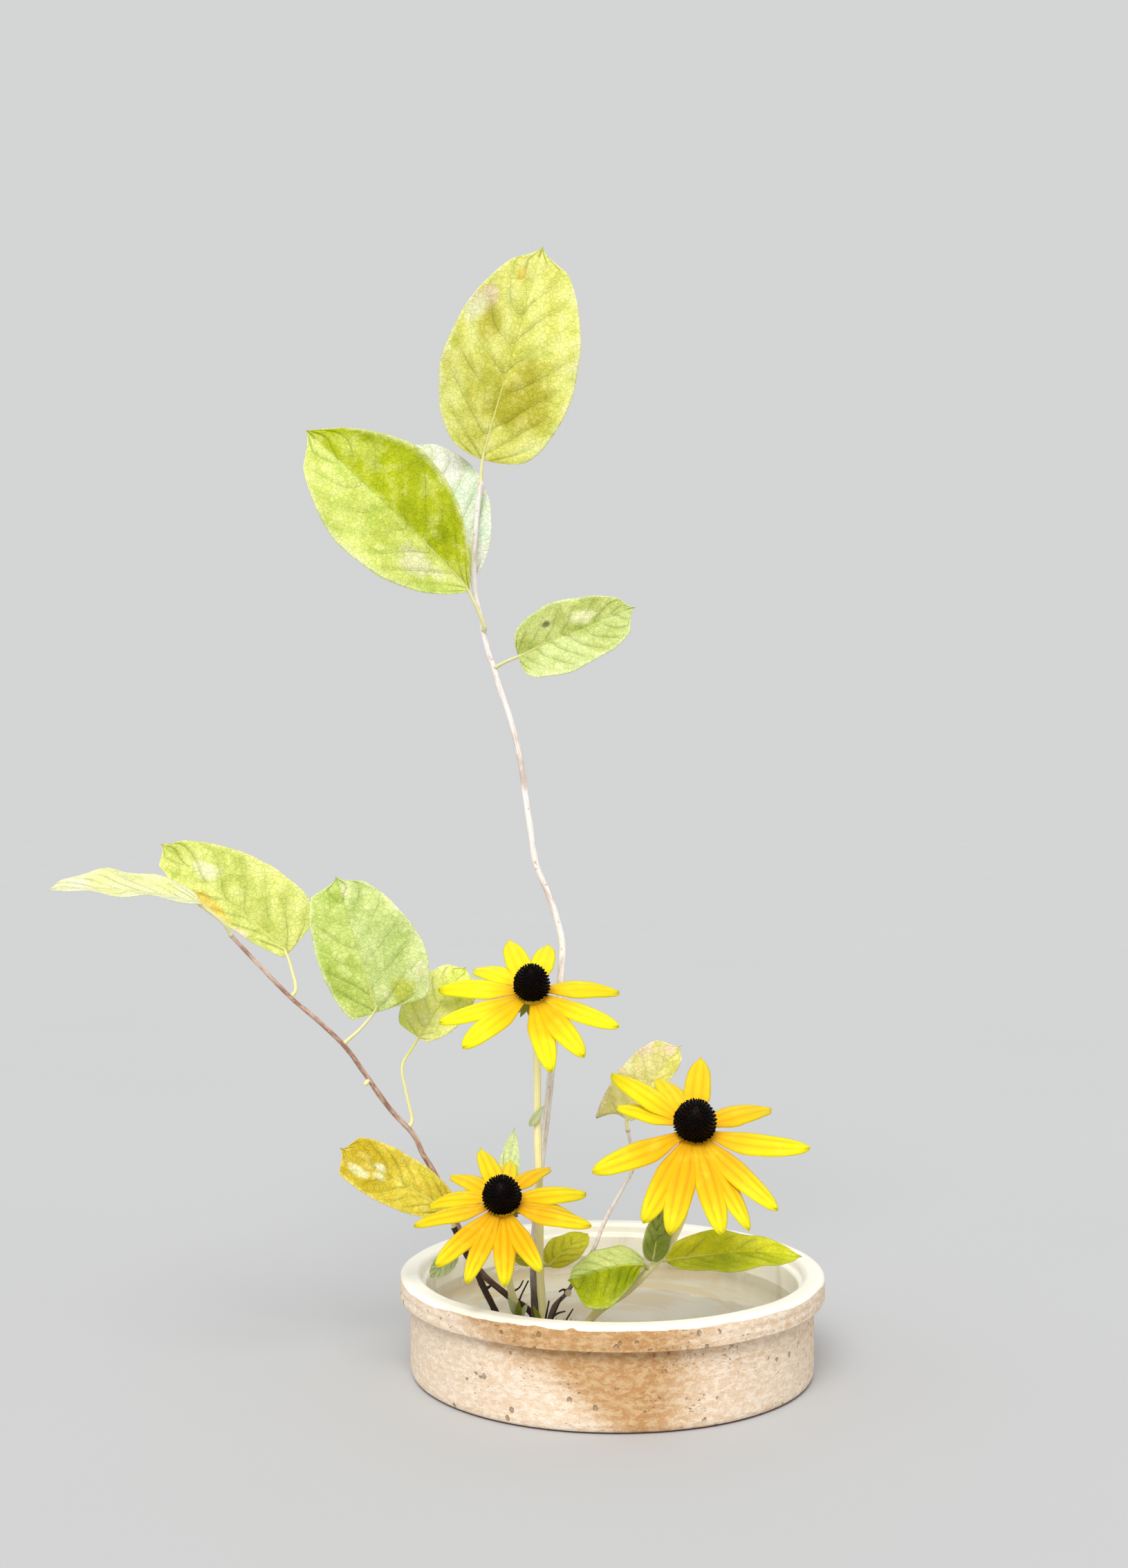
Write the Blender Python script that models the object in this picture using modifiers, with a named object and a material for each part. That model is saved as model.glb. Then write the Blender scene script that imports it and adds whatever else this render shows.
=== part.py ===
"""Ikebana arrangement: three coneflowers and four leafy twigs standing in a pin holder
in a low stoneware bowl of water.

Run with: blender --background --python part.py
The origin is the middle of the bowl's flat base. +Z is up, and the arrangement faces -Y.
Every length below is in millimetres until it is turned into metres by mm() or MM.
"""
import math
from typing import NamedTuple

import bmesh
import bpy
from mathutils import Vector

MM = 0.001
GAP = 0.3                       # clearance between pieces that touch

# Bowl: rim collar over a slightly narrower wall
RIM_RADIUS = 95.0
WALL_RADIUS = 90.2
INNER_RADIUS = 82.8
BOWL_HEIGHT = 45.0
COLLAR_HEIGHT = 10.5
FLOOR_TOP = 6.0
FILLET = 7.0                    # between the floor and the inner wall
BOWL_STEPS = 44

# Water and pin holder
WATER_LEVEL = 28.5
WATER_GAP = 0.4
HOLDER_CENTRE = (-30.0, -40.0)
HOLDER_RADIUS = 25.5
HOLDER_BASE = 8.0
PIN_LENGTH = 12.0
PIN_RADIUS = 0.75
PIN_PITCH = 5.9
HOLDER_BOTTOM = FLOOR_TOP + GAP
HOLDER_TOP = HOLDER_BOTTOM + HOLDER_BASE
PIN_TOP = HOLDER_TOP + PIN_LENGTH
FOOT = HOLDER_TOP + GAP         # height of every stem's cut end

# Leaves and petals
LEAF_THICKNESS = 0.75
PETAL_THICKNESS = 0.65
LARGE_LEAF = 45.0               # blades longer than this get the finer grid
LARGE_GRID = (9, 6)             # rows from base to tip, and columns across
SMALL_GRID = (7, 4)
PETAL_GRID = (5, 2)
SEPAL_GRID = (3, 2)
STALK_RADIUS = 0.85
STALK_SPACING = 5.0
STEM_SPACING = 9.5
MIDRIB_SHARE = 0.3              # how much of the blade the stalk runs under

# Colours (linear RGB)
STONEWARE = (0.62, 0.45, 0.29)
WATER = (0.75, 0.80, 0.78)
LEAD = (0.20, 0.20, 0.21)
PALE_BARK = (0.55, 0.45, 0.38)
BROWN_BARK = (0.16, 0.09, 0.05)
LIME_LEAF = (0.45, 0.53, 0.12)
PALE_LEAF = (0.60, 0.68, 0.30)
DEEP_LEAF = (0.22, 0.32, 0.04)
FLOWER_STEM = (0.40, 0.42, 0.12)
PETAL_YELLOW = (0.90, 0.55, 0.01)
DISC_BROWN = (0.015, 0.006, 0.004)


class Stem(NamedTuple):
    """A twig or flower stem: hand-set points from its cut end upwards, and its two radii."""
    points: tuple
    foot_radius: float
    tip_radius: float


class Leaf(NamedTuple):
    """A blade from base to tip, its upper face towards facing, on a stalk from its stem."""
    name: str
    stem: str
    base: tuple
    tip: tuple
    facing: tuple
    left: tuple                 # half width, the outline's powers at base and tip, and how
    right: tuple                # far its edge reaches back past the base, for each side
    arch: float = 3.0           # how far the midrib bows towards facing
    fold: float = 12.0          # degrees that each half rises from the midrib
    wave: float = 0.8           # height of the waves along the edges
    stalk: tuple = ()           # points between the stem and the base
    colour: tuple = LIME_LEAF


class Flower(NamedTuple):
    """A coneflower head: centre of its petal ring, how its axis points, and its petals."""
    name: str
    centre: tuple
    tilt: float                 # degrees that the axis rises above horizontal, facing -Y
    lean: float                 # degrees that the axis leans towards +X
    disc_radius: float
    disc_height: float
    petal_width: float
    petals: tuple               # (azimuth, droop, reach) of each petal


STEMS = {
    "tall_branch": Stem((
        (-33, -43, FOOT), (-34, -40.5, 38), (-34.5, -36, 52), (-34, -32, 69), (-32.8, -29, 86),
        (-30.5, -25.5, 106), (-28.7, -23, 121), (-26.9, -20, 138), (-25, -18, 152), (-23.5, -16, 165),
        (-23, -15, 177), (-22.2, -13, 190), (-24.5, -12, 201), (-29, -10, 214), (-34, -9, 226),
        (-36.3, -8, 240), (-38.5, -7.5, 255), (-41.5, -6, 275), (-46, -5, 292), (-50.5, -4, 305),
        (-53, -3, 313), (-56, -2, 322), (-58.5, -2, 334), (-61, -1, 345), (-62, 0, 356),
        (-61.5, 1, 370), (-60.3, 2, 386), (-58.9, 3, 397)), 1.75, 1.15),
    "left_branch": Stem((
        (-30.5, -30.5, FOOT), (-35.5, -33, 33), (-46, -36, 42), (-59.5, -33, 54), (-70, -31, 77),
        (-77, -30, 92), (-82, -32, 101), (-86.5, -35, 111), (-95.5, -40, 122),
        (-104.5, -45, 136), (-113.5, -50, 150), (-124.5, -53, 161.5), (-136, -56, 172),
        (-149, -59, 186), (-160.5, -62, 199)), 1.4, 0.8),
    "short_branch": Stem((
        (-41.5, -43.5, FOOT), (-46, -46, 27), (-51.3, -46, 39), (-55.5, -44.5, 47), (-60, -43, 56),
        (-64.5, -42, 63.5), (-68.5, -42, 72.5)), 1.5, 1.2),
    "right_twig": Stem((
        (-29.5, -38.5, FOOT), (-28.5, -35.5, 28), (-26, -33, 36), (-20.5, -29, 41), (-15, -25, 48.5),
        (-9, -20, 57), (-4, -14.5, 68), (0, -11.5, 75), (5, -8.5, 83), (9.3, -6, 91),
        (9, -5, 98), (7.8, -4.2, 102.5), (6.8, -4, 107.5)), 1.0, 0.75),
    "top_flower": Stem((
        (-29.2, -47.5, FOOT), (-30.5, -46, 35), (-31.8, -44, 55), (-31.9, -42.5, 77),
        (-32.4, -41, 95), (-32.9, -40, 115), (-33.2, -38.5, 148), (-34.6, -39, 160)), 1.6, 1.5),
    "right_flower": Stem((
        (-22.5, -44.5, FOOT), (-17, -45.5, 25), (-9.4, -46, 35.5), (-3.2, -47, 41), (5, -48.5, 47),
        (13, -51, 55.5), (20.7, -53.5, 65), (28, -56.5, 80), (31, -58, 97), (31.2, -60, 107)), 1.7, 1.5),
    "lower_flower": Stem((
        (-37.5, -46.5, FOOT), (-39.5, -47.5, 30), (-41.2, -49, 40), (-43.3, -52, 46),
        (-44.8, -58, 56), (-46, -64.5, 68), (-46.4, -69, 79)), 1.5, 1.4),
}

BRANCH_COLOURS = {
    "tall_branch": PALE_BARK,
    "left_branch": BROWN_BARK,
    "short_branch": BROWN_BARK,
    "right_twig": PALE_BARK,
}

LEAVES = (
    Leaf("tall_branch_top_leaf", "tall_branch", (-58.4, 3, 407.5), (-31, -4, 501), (0.1, -0.95, 0.2),
         (29.5, 0.5, 0.72, 2), (31.5, 0.37, 0.57, 2), 4, 10, 1.0, ((-58.8, 3, 402),)),
    Leaf("tall_branch_front_leaf", "tall_branch", (-63.5, -8, 347.5), (-132.5, -34, 413.5),
         (0.25, -0.95, 0.2), (31.5, 0.8, 0.72, 0), (28, 1.05, 0.95, 0), 4, 12, 1.2,
         ((-56.8, -5, 331), (-60.2, -7, 339.5))),
    Leaf("tall_branch_back_leaf", "tall_branch", (-63, 5.5, 353), (-93.5, 16, 417), (0, -0.95, 0.3),
         (20, 0.5, 0.6, 0), (23, 0.75, 0.7, 0), 4, 8, 1.0, ((-61.8, 3.5, 347),), PALE_LEAF),
    Leaf("tall_branch_side_leaf", "tall_branch", (-41.7, -8, 318), (9.5, -22, 338.5),
         (0.1, -0.93, 0.35), (15.5, 0.32, 0.62, 1), (18.3, 0.35, 0.42, 1), 2.5, 8, 0.8,
         ((-47, -6, 316),), PALE_LEAF),
    Leaf("left_branch_tip_leaf", "left_branch", (-171, -70, 212.5), (-227, -96, 219.3),
         (0.05, -0.22, 0.97), (18, 0.45, 0.7, 2), (20, 0.45, 0.7, 2), 3, 8, 1.0,
         ((-163, -66, 204.5),), PALE_LEAF),
    Leaf("left_branch_second_leaf", "left_branch", (-138.7, -44, 189.5), (-194.8, -36, 235.8),
         (0.3, -0.85, 0.1), (10.5, 0.6, 0.35, 4), (24, 0.27, 0.75, 4), 3, 12, 0.8,
         ((-134.5, -51.5, 175), (-136.5, -48, 182))),
    Leaf("left_branch_third_leaf", "left_branch", (-101, -44, 164.5), (-119, -40, 222),
         (0, -0.97, 0.2), (17.5, 0.28, 0.3, 4), (27.5, 0.22, 0.57, 4), 3, 8, 1.0,
         ((-107, -45.5, 158.5),)),
    Leaf("left_branch_fourth_leaf", "left_branch", (-84.5, -28, 151.5), (-64.5, -22, 181.5),
         (0, -0.97, 0.2), (14.5, 0.28, 0.5, 2), (12.7, 0.6, 0.5, 2), 2, 6, 0.6,
         ((-87, -33.5, 117), (-89.3, -32.5, 127), (-91.5, -31, 139), (-88, -29, 146))),
    Leaf("short_branch_leaf", "short_branch", (-70.5, -43.5, 79.5), (-116.5, -48, 107.5),
         (0.1, -0.9, 0.35), (12, 0.5, 0.3, 1), (11.5, 0.33, 0.34, 1), 2.5, 6, 0.6,
         ((-69.8, -43, 76.5),)),
    Leaf("short_branch_small_leaf", "short_branch", (-67.5, -41, 62), (-79, -36, 49.5),
         (0.1, -0.95, 0.3), (4.5, 0.5, 0.7, 0), (4.5, 0.5, 0.7, 0), 1, 6, 0, (), DEEP_LEAF),
    Leaf("right_twig_leaf", "right_twig", (6, -4, 112), (30.5, -6, 145), (-0.2, -0.9, 0.3),
         (14, 0.22, 0.7, 8), (7, 0.5, 0.8, 1), 4, 18, 1.0, ((6.3, -4, 110),), PALE_LEAF),
    Leaf("top_flower_leaf", "top_flower", (-28.3, -41.5, 56), (-11, -22, 65), (0, -0.6, 0.8),
         (7.5, 0.4, 0.75, 0), (8, 0.4, 0.75, 0), 1.5, 10, 0.5, (), DEEP_LEAF),
    Leaf("top_flower_small_leaf", "top_flower", (-35.8, -44.5, 57), (-48, -35, 64), (0, -0.6, 0.8),
         (4, 0.45, 0.75, 0), (4.5, 0.45, 0.75, 0), 1, 8, 0.3, (), DEEP_LEAF),
    Leaf("right_flower_front_leaf", "right_flower", (12.5, -54.5, 59.9), (-20, -62, 55),
         (-0.1, -0.61, 0.79), (17.5, 1.1, 0.5, 0), (13, 0.3, 0.6, 0), 3, -12, 0.8, (), DEEP_LEAF),
    Leaf("right_flower_upright_leaf", "right_flower", (15.5, -56, 61.5), (18.6, -60.5, 86),
         (0.15, -0.95, 0.2), (6, 0.5, 0.8, 0), (6, 0.5, 0.8, 0), 1.5, 14, 0.4, (), DEEP_LEAF),
    Leaf("right_flower_side_leaf", "right_flower", (21.5, -49, 60), (82, -24, 55.5),
         (0, -0.55, 0.85), (12, 0.5, 0.8, 0), (12, 0.5, 0.8, 0), 3.5, 8, 0.8, (), DEEP_LEAF),
    Leaf("lower_flower_leaf", "lower_flower", (-49, -54, 64), (-43, -30, 113), (0, -0.97, 0.2),
         (6.5, 0.5, 0.75, 0), (5.5, 0.5, 0.75, 0), -5, 8, 0.3, (), PALE_LEAF),
)

FLOWERS = (
    Flower("top_flower", (-35.2, -45.8, 173.2), 50, 0, 7.6, 14, 10.5, (
        (79, 13, 42), (107, 11, 42), (132, 20, 42), (168, 7, 42), (-155, -6, 43), (-132, -5, 43),
        (-79, 0, 42), (-58, -3, 42), (-30, -3, 42), (20, 17, 42))),
    Flower("right_flower", (31.7, -67.4, 118.7), 50, 8, 9.2, 15.5, 11.5, (
        (41, 15, 48), (87, 9, 49), (110, 17, 42), (137, 10, 49), (148, 20, 39), (-143, -2, 49),
        (-110, 5, 49), (-97, 5, 49), (-72, 4, 49), (-58, 4, 49), (-43, 0, 49), (-10, -13, 49))),
    Flower("lower_flower", (-46.7, -75.8, 90.4), 50, -3, 8.0, 13.5, 9, (
        (20, 17, 38), (58, 22, 38), (86, 24, 38), (103, 12, 39), (129, 21, 38), (157, 23, 38),
        (-172, 4, 37), (-134, -3, 39), (-114, 0, 39), (-88, -3, 39), (-69, -7, 39),
        (-25, -6, 39), (-2, 24, 37))),
)

# Petal ring, measured along the head's axis from its centre
RING_TOP = 0.7
RING_BOTTOM = -1.3
RING_RADIUS = 6.5
CUP_TOP = RING_BOTTOM - GAP
CUP_BOTTOM = -6.5
CUP_RADIUS = 5.5
PETAL_ROOT = 4.0                # where a petal starts in the ring
SEPALS = 8


def mm(point):
    """A point in millimetres as a vector in metres."""
    return Vector(point) * MM


def material(name, colour, roughness=0.6, metallic=0.0):
    made = bpy.data.materials.new(name)
    made.use_nodes = True
    shader = made.node_tree.nodes["Principled BSDF"]
    shader.inputs["Base Color"].default_value = (*colour, 1)
    shader.inputs["Roughness"].default_value = roughness
    shader.inputs["Metallic"].default_value = metallic
    made.diffuse_color = (*colour, 1)
    return made


def add_object(name, data, finish=None):
    made = bpy.data.objects.new(name, data)
    parts.objects.link(made)
    if finish:
        data.materials.clear()
        data.materials.append(finish)
    return made


def mesh_object(name, bm, finish=None):
    mesh = bpy.data.meshes.new(name)
    bm.to_mesh(mesh)
    bm.free()
    return add_object(name, mesh, finish)


def frozen_mesh(obj):
    """The mesh that an object's modifiers or curve settings make, with loose caps welded."""
    bpy.context.view_layer.update()
    graph = bpy.context.evaluated_depsgraph_get()
    mesh = bpy.data.meshes.new_from_object(obj.evaluated_get(graph))
    bm = bmesh.new()
    bm.from_mesh(mesh)
    bmesh.ops.remove_doubles(bm, verts=bm.verts, dist=0.00001)
    bm.to_mesh(mesh)
    bm.free()
    return mesh


def remove(obj):
    bpy.data.objects.remove(obj)


def combine(core, others, operation="UNION", solver="MANIFOLD"):
    """Joins the other objects to core, or cuts them from it, and removes them."""
    group = bpy.data.collections.new(core.name + "_tools")
    cutters.children.link(group)
    for other in others:
        for user in other.users_collection:
            user.objects.unlink(other)
        group.objects.link(other)
        other.display_type = "WIRE"
        other.hide_render = True
    boolean = core.modifiers.new("combine", "BOOLEAN")
    boolean.operation = operation
    boolean.operand_type = "COLLECTION"
    boolean.collection = group
    boolean.solver = solver
    mesh = frozen_mesh(core)
    core.modifiers.clear()
    core.data = mesh
    for other in others:
        remove(other)
    bpy.data.collections.remove(group)


def smooth_route(points, spacing):
    """Points about spacing apart on the smooth curve through the given ones."""
    ends = [points[0] * 2 - points[1]] + list(points) + [points[-1] * 2 - points[-2]]
    route = []
    for before, start, end, after in zip(ends, ends[1:], ends[2:], ends[3:]):
        count = max(1, round((end - start).length / spacing))
        for step in range(count):
            t = step / count
            route.append(0.5 * (
                2 * start
                + (end - before) * t
                + (2 * before - 5 * start + 4 * end - after) * t ** 2
                + (3 * start - before - 3 * end + after) * t ** 3))
    route.append(points[-1].copy())
    return route


def tube(name, route, radii, resolution=2, finish=None):
    """A closed round tube along the route, as a curve object. Radii follow the points."""
    curve = bpy.data.curves.new(name, "CURVE")
    curve.dimensions = "3D"
    curve.bevel_depth = max(radii) * MM
    curve.bevel_resolution = resolution
    curve.use_fill_caps = True
    spline = curve.splines.new("POLY")
    spline.points.add(len(route) - 1)
    for knot, place, radius in zip(spline.points, route, radii):
        knot.co = (*place, 1)
        knot.radius = radius / max(radii)
    return add_object(name, curve, finish)


def tube_mesh(name, route, radii, resolution=2, finish=None):
    """The same tube as a welded mesh, for joining and cutting."""
    curve = tube(name, route, radii, resolution)
    made = add_object(name + "_mesh", frozen_mesh(curve), finish)
    remove(curve)
    made.name = name
    return made


def stem_points(stem):
    """A stem's own points, with a leaning foot raised so that its cut end clears the holder."""
    points = [mm(point) for point in stem.points]
    direction = (points[1] - points[0]).normalized()
    points[0].z += stem.foot_radius * math.sqrt(1 - direction.z ** 2) * MM
    return points


def taper(stem, count):
    """Radii from a stem's foot to its tip, with a slight swelling now and then at a node."""
    radii = []
    for index in range(count):
        share = index / (count - 1)
        swelling = 1 + 0.1 * max(0.0, math.cos(2 * math.pi * share * 5)) ** 8
        radii.append((stem.foot_radius + (stem.tip_radius - stem.foot_radius) * share) * swelling)
    return radii


def outline(t, base_power, tip_power):
    """Width of a leaf from base (0) to tip (1), with 1 as its widest."""
    widest = base_power / (base_power + tip_power)
    peak = widest ** base_power * (1 - widest) ** tip_power
    return t ** base_power * (1 - t) ** tip_power / peak


def thin_blade(name, grid, point_at, thickness, finish):
    """A sheet through point_at(t, v), split into triangles and then given its thickness."""
    bm = bmesh.new()
    bmesh.ops.create_grid(bm, x_segments=grid[0], y_segments=grid[1], size=1)
    for vertex in bm.verts:
        t = 0.5 - 0.5 * math.cos(math.pi * (vertex.co.x + 1) / 2)
        vertex.co = point_at(t, vertex.co.y)
    bmesh.ops.remove_doubles(bm, verts=bm.verts, dist=0.02 * MM)
    bmesh.ops.triangulate(bm, faces=bm.faces)
    made = mesh_object(name, bm, finish)
    wall = made.modifiers.new("thickness", "SOLIDIFY")
    wall.thickness = thickness * MM
    wall.offset = 0
    return made


def leaf_axes(leaf):
    """Length of the blade, and its directions along the midrib, to the left and upwards."""
    base, tip = mm(leaf.base), mm(leaf.tip)
    along = (tip - base).normalized()
    facing = Vector(leaf.facing)
    up = (facing - along * facing.dot(along)).normalized()
    return (tip - base).length, along, up.cross(along), up


def leaf_point(leaf, t, v):
    """A point of the blade: t runs from base to tip, v from the right edge to the left."""
    length, along, left, up = leaf_axes(leaf)
    widest, base_power, tip_power, lobe = leaf.left if v > 0 else leaf.right
    half_width = widest * outline(t, base_power, tip_power)
    reach = abs(v) * half_width
    fold = math.radians(leaf.fold)
    ripple = leaf.wave * v * v * math.sin(2 * math.pi * (2.5 * t + 0.25 * math.copysign(1, v)))
    ripple *= math.sin(math.pi * t)
    rise = leaf.arch * 4 * t * (1 - t) + reach * math.sin(fold) + ripple
    side = math.copysign(reach * math.cos(fold), v)
    back = lobe * v * v * min(1, 20 * t) * (1 - t) ** 6
    return mm(leaf.base) + along * (length * t - back * MM) + (left * side + up * rise) * MM


def stalk_seat(route, radii, towards):
    """Where a stalk starts beside its stem: at the nearest point, clear of the bark."""
    nearest = min(range(1, len(route) - 1), key=lambda i: (route[i] - towards).length)
    if (route[-1] - towards).length < (route[nearest] - towards).length:
        end_direction = (route[-1] - route[-2]).normalized()
        return route[-1] + end_direction * (GAP + STALK_RADIUS / 2) * MM
    axis = (route[nearest + 1] - route[nearest - 1]).normalized()
    away = towards - route[nearest]
    away = (away - axis * away.dot(axis)).normalized()
    slope = (towards - route[nearest]).normalized()
    across = max(0.35, slope.dot(away))
    back = math.sqrt(1 - across * across) * STALK_RADIUS
    return route[nearest] + slope * (radii[nearest] + GAP + 0.15 + back) / across * MM


def build_leaf(leaf, routes):
    finish = material(leaf.name + "_skin", leaf.colour, 0.5)
    length, _, _, up = leaf_axes(leaf)
    grid = LARGE_GRID if length > LARGE_LEAF * MM else SMALL_GRID
    blade = thin_blade(leaf.name, grid, lambda t, v: leaf_point(leaf, t, v), LEAF_THICKNESS, finish)
    below = up * -(LEAF_THICKNESS / 2 + 0.15) * MM
    midrib = [leaf_point(leaf, t, 0) + below for t in (0.04, MIDRIB_SHARE / 2, MIDRIB_SHARE)]
    middle = [mm(point) for point in leaf.stalk]
    first = middle[0] if middle else midrib[0]
    route, radii = routes[leaf.stem]
    points = [stalk_seat(route, radii, first)] + middle + midrib
    stalk = smooth_route(points, STALK_SPACING * MM)
    widths = [STALK_RADIUS - 0.3 * index / (len(stalk) - 1) for index in range(len(stalk))]
    combine(blade, [tube_mesh(leaf.name + "_stalk", stalk, widths, 1, finish)])


def head_axes(flower):
    """The head's axis, and two directions in the plane of its petals: right and up."""
    tilt, lean = math.radians(flower.tilt), math.radians(flower.lean)
    axis = Vector((math.sin(tilt) * math.sin(lean), -math.cos(tilt), math.sin(tilt) * math.cos(lean)))
    axis.normalize()
    right = Vector((math.cos(lean), 0, -math.sin(lean)))
    right = (right - axis * right.dot(axis)).normalized()
    return axis, right, axis.cross(right)


def petal_point(flower, petal, t, v):
    """A point of a ray petal: flat where it leaves the ring, then bending to its tip."""
    azimuth, droop, reach = math.radians(petal[0]), math.radians(petal[1]), petal[2]
    axis, right, up = head_axes(flower)
    outward = right * math.cos(azimuth) + up * math.sin(azimuth)
    across = axis.cross(outward)
    distance = PETAL_ROOT + (reach * math.cos(droop) - PETAL_ROOT) * t
    layer = flower.petals.index(petal) % 3 - 1
    height = 0.22 * layer - 0.3 - reach * math.sin(droop) * t ** 1.7
    spread = min(1.0, t / 0.45)
    width = 0.5 * flower.petal_width * (0.2 + 0.8 * spread * spread * (3 - 2 * spread))
    width *= math.sqrt(max(0.0, 1 - t ** 4))
    height -= 1.1 * v * v * min(1.0, 3 * t)
    return mm(flower.centre) + (outward * distance + across * (v * width) + axis * height) * MM


def build_petals(flower, finish):
    """All the ray petals of a head, fused to the flat ring that they grow from."""
    ring = plug(flower.name + "_petals", flower, RING_BOTTOM, RING_TOP, RING_RADIUS, RING_RADIUS, finish)
    petals = []
    for index, petal in enumerate(flower.petals):
        petals.append(thin_blade(
            f"{flower.name}_petal_{index}", PETAL_GRID,
            lambda t, v, petal=petal: petal_point(flower, petal, t, v), PETAL_THICKNESS, finish))
    combine(ring, petals)


def plug(name, flower, low, high, low_radius, high_radius, finish):
    """A short cone frustum on the head's axis, between two heights."""
    axis = head_axes(flower)[0]
    bm = bmesh.new()
    bmesh.ops.create_cone(bm, cap_ends=True, segments=14, radius1=low_radius * MM,
                          radius2=high_radius * MM, depth=(high - low) * MM)
    turn = axis.to_track_quat("Z", "Y").to_matrix().to_4x4()
    bmesh.ops.transform(bm, matrix=turn, verts=bm.verts)
    middle = mm(flower.centre) + axis * (low + high) / 2 * MM
    bmesh.ops.translate(bm, vec=middle, verts=bm.verts)
    return mesh_object(name, bm, finish)


def build_disc(flower, finish):
    """The dark cone of florets: a blunt dome with its florets as raised bumps."""
    axis, right, up = head_axes(flower)
    segments, rings, cut = 16, 10, 3
    start = mm(flower.centre) + axis * (RING_TOP + GAP) * MM
    lowest = -math.cos(math.pi * cut / rings)
    bm = bmesh.new()
    bmesh.ops.create_uvsphere(bm, u_segments=segments, v_segments=rings, radius=1)
    below = [vertex for vertex in bm.verts if vertex.co.z < lowest - 0.01]
    bmesh.ops.delete(bm, geom=below, context="VERTS")
    bmesh.ops.holes_fill(bm, edges=[edge for edge in bm.edges if edge.is_boundary])
    for vertex in bm.verts:
        level = (vertex.co.z - lowest) / (1 - lowest)
        turn = math.atan2(vertex.co.y, vertex.co.x)
        column = round(turn / (2 * math.pi / segments))
        row = round(math.acos(max(-1.0, min(1.0, vertex.co.z))) / (math.pi / rings))
        bump = 0.45 if (column + row) % 2 and 0 < level < 0.97 else 0.0
        radius = (flower.disc_radius * (1 - 0.12 * level) + bump) * math.hypot(vertex.co.x, vertex.co.y)
        height = flower.disc_height * level + bump * level
        place = right * math.cos(turn) * radius + up * math.sin(turn) * radius + axis * height
        vertex.co = start + place * MM
    return mesh_object(flower.name + "_disc", bm, finish)


def build_flower_stem(flower, stem, finish):
    """A flower stem with the green cup that holds its head, ringed by narrow sepals."""
    axis, right, up = head_axes(flower)
    centre = mm(flower.centre)
    points = stem_points(stem)
    points += [centre + axis * height * MM for height in (CUP_BOTTOM - 1, CUP_TOP - 1)]
    route = smooth_route(points, STEM_SPACING * MM)
    radii = taper(stem, len(route))
    body = tube_mesh(flower.name + "_stem", route, radii, 2, finish)
    additions = [plug(flower.name + "_cup", flower, CUP_BOTTOM, CUP_TOP, 2, CUP_RADIUS, finish)]
    for index in range(SEPALS):
        azimuth = 2 * math.pi * index / SEPALS
        outward = right * math.cos(azimuth) + up * math.sin(azimuth)
        across = axis.cross(outward)

        def sepal_point(t, v, outward=outward, across=across):
            distance = 3.3 + 6 * t
            height = -3.6 - 7.5 * t ** 1.3
            width = (0.95 + 1.3 * t) * math.sqrt(max(0.0, 1 - t ** 2))
            return centre + (outward * distance + across * (v * width) + axis * height) * MM

        name = f"{flower.name}_sepal_{index}"
        additions.append(thin_blade(name, SEPAL_GRID, sepal_point, LEAF_THICKNESS, finish))
    combine(body, additions)
    return route, radii


def turned(name, profile, finish):
    """A solid of revolution from an (R, Z) profile that runs down its outer side."""
    bm = bmesh.new()
    corners = [bm.verts.new(mm((radius, 0, height))) for radius, height in profile]
    for first, second in zip(corners, corners[1:]):
        bm.edges.new((first, second))
    made = mesh_object(name, bm, finish)
    screw = made.modifiers.new("turn", "SCREW")
    screw.steps = BOWL_STEPS
    screw.render_steps = BOWL_STEPS
    screw.use_merge_vertices = True
    screw.merge_threshold = 0.00001
    made.data.shade_smooth()
    return made


def arc(centre, radius, start, end, count):
    """Points (R, Z) on an arc between two angles in degrees."""
    angles = [math.radians(start + (end - start) * index / count) for index in range(count + 1)]
    return [(centre[0] + radius * math.cos(a), centre[1] + radius * math.sin(a)) for a in angles]


def build_bowl():
    """Low round bowl: inner fillet, small ledge under the rim, collar and rounded foot."""
    fillet, rim_round, foot_round = FILLET, 2.6, 4.0
    profile = [(0, FLOOR_TOP), (40, FLOOR_TOP)]
    profile += arc((INNER_RADIUS - fillet, FLOOR_TOP + fillet), fillet, -90, 0, 4)
    profile += [(INNER_RADIUS, BOWL_HEIGHT - 6), (INNER_RADIUS + 2.8, BOWL_HEIGHT - 4.8)]
    profile += arc((INNER_RADIUS + 2.8 + rim_round, BOWL_HEIGHT - rim_round), rim_round, 180, 90, 2)
    profile += arc((RIM_RADIUS - rim_round, BOWL_HEIGHT - rim_round), rim_round, 90, 0, 3)
    profile += [(RIM_RADIUS, BOWL_HEIGHT - COLLAR_HEIGHT + 1), (RIM_RADIUS - 1, BOWL_HEIGHT - COLLAR_HEIGHT)]
    profile += [(WALL_RADIUS + 0.4, BOWL_HEIGHT - COLLAR_HEIGHT - 0.4)]
    profile += [(WALL_RADIUS, BOWL_HEIGHT - COLLAR_HEIGHT - 1.6)]
    profile += arc((WALL_RADIUS - foot_round, foot_round), foot_round, 0, -75, 3)
    profile += [(WALL_RADIUS - foot_round, 0), (0, 0)]
    return turned("bowl", profile, material("stoneware", STONEWARE, 0.75))


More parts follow.
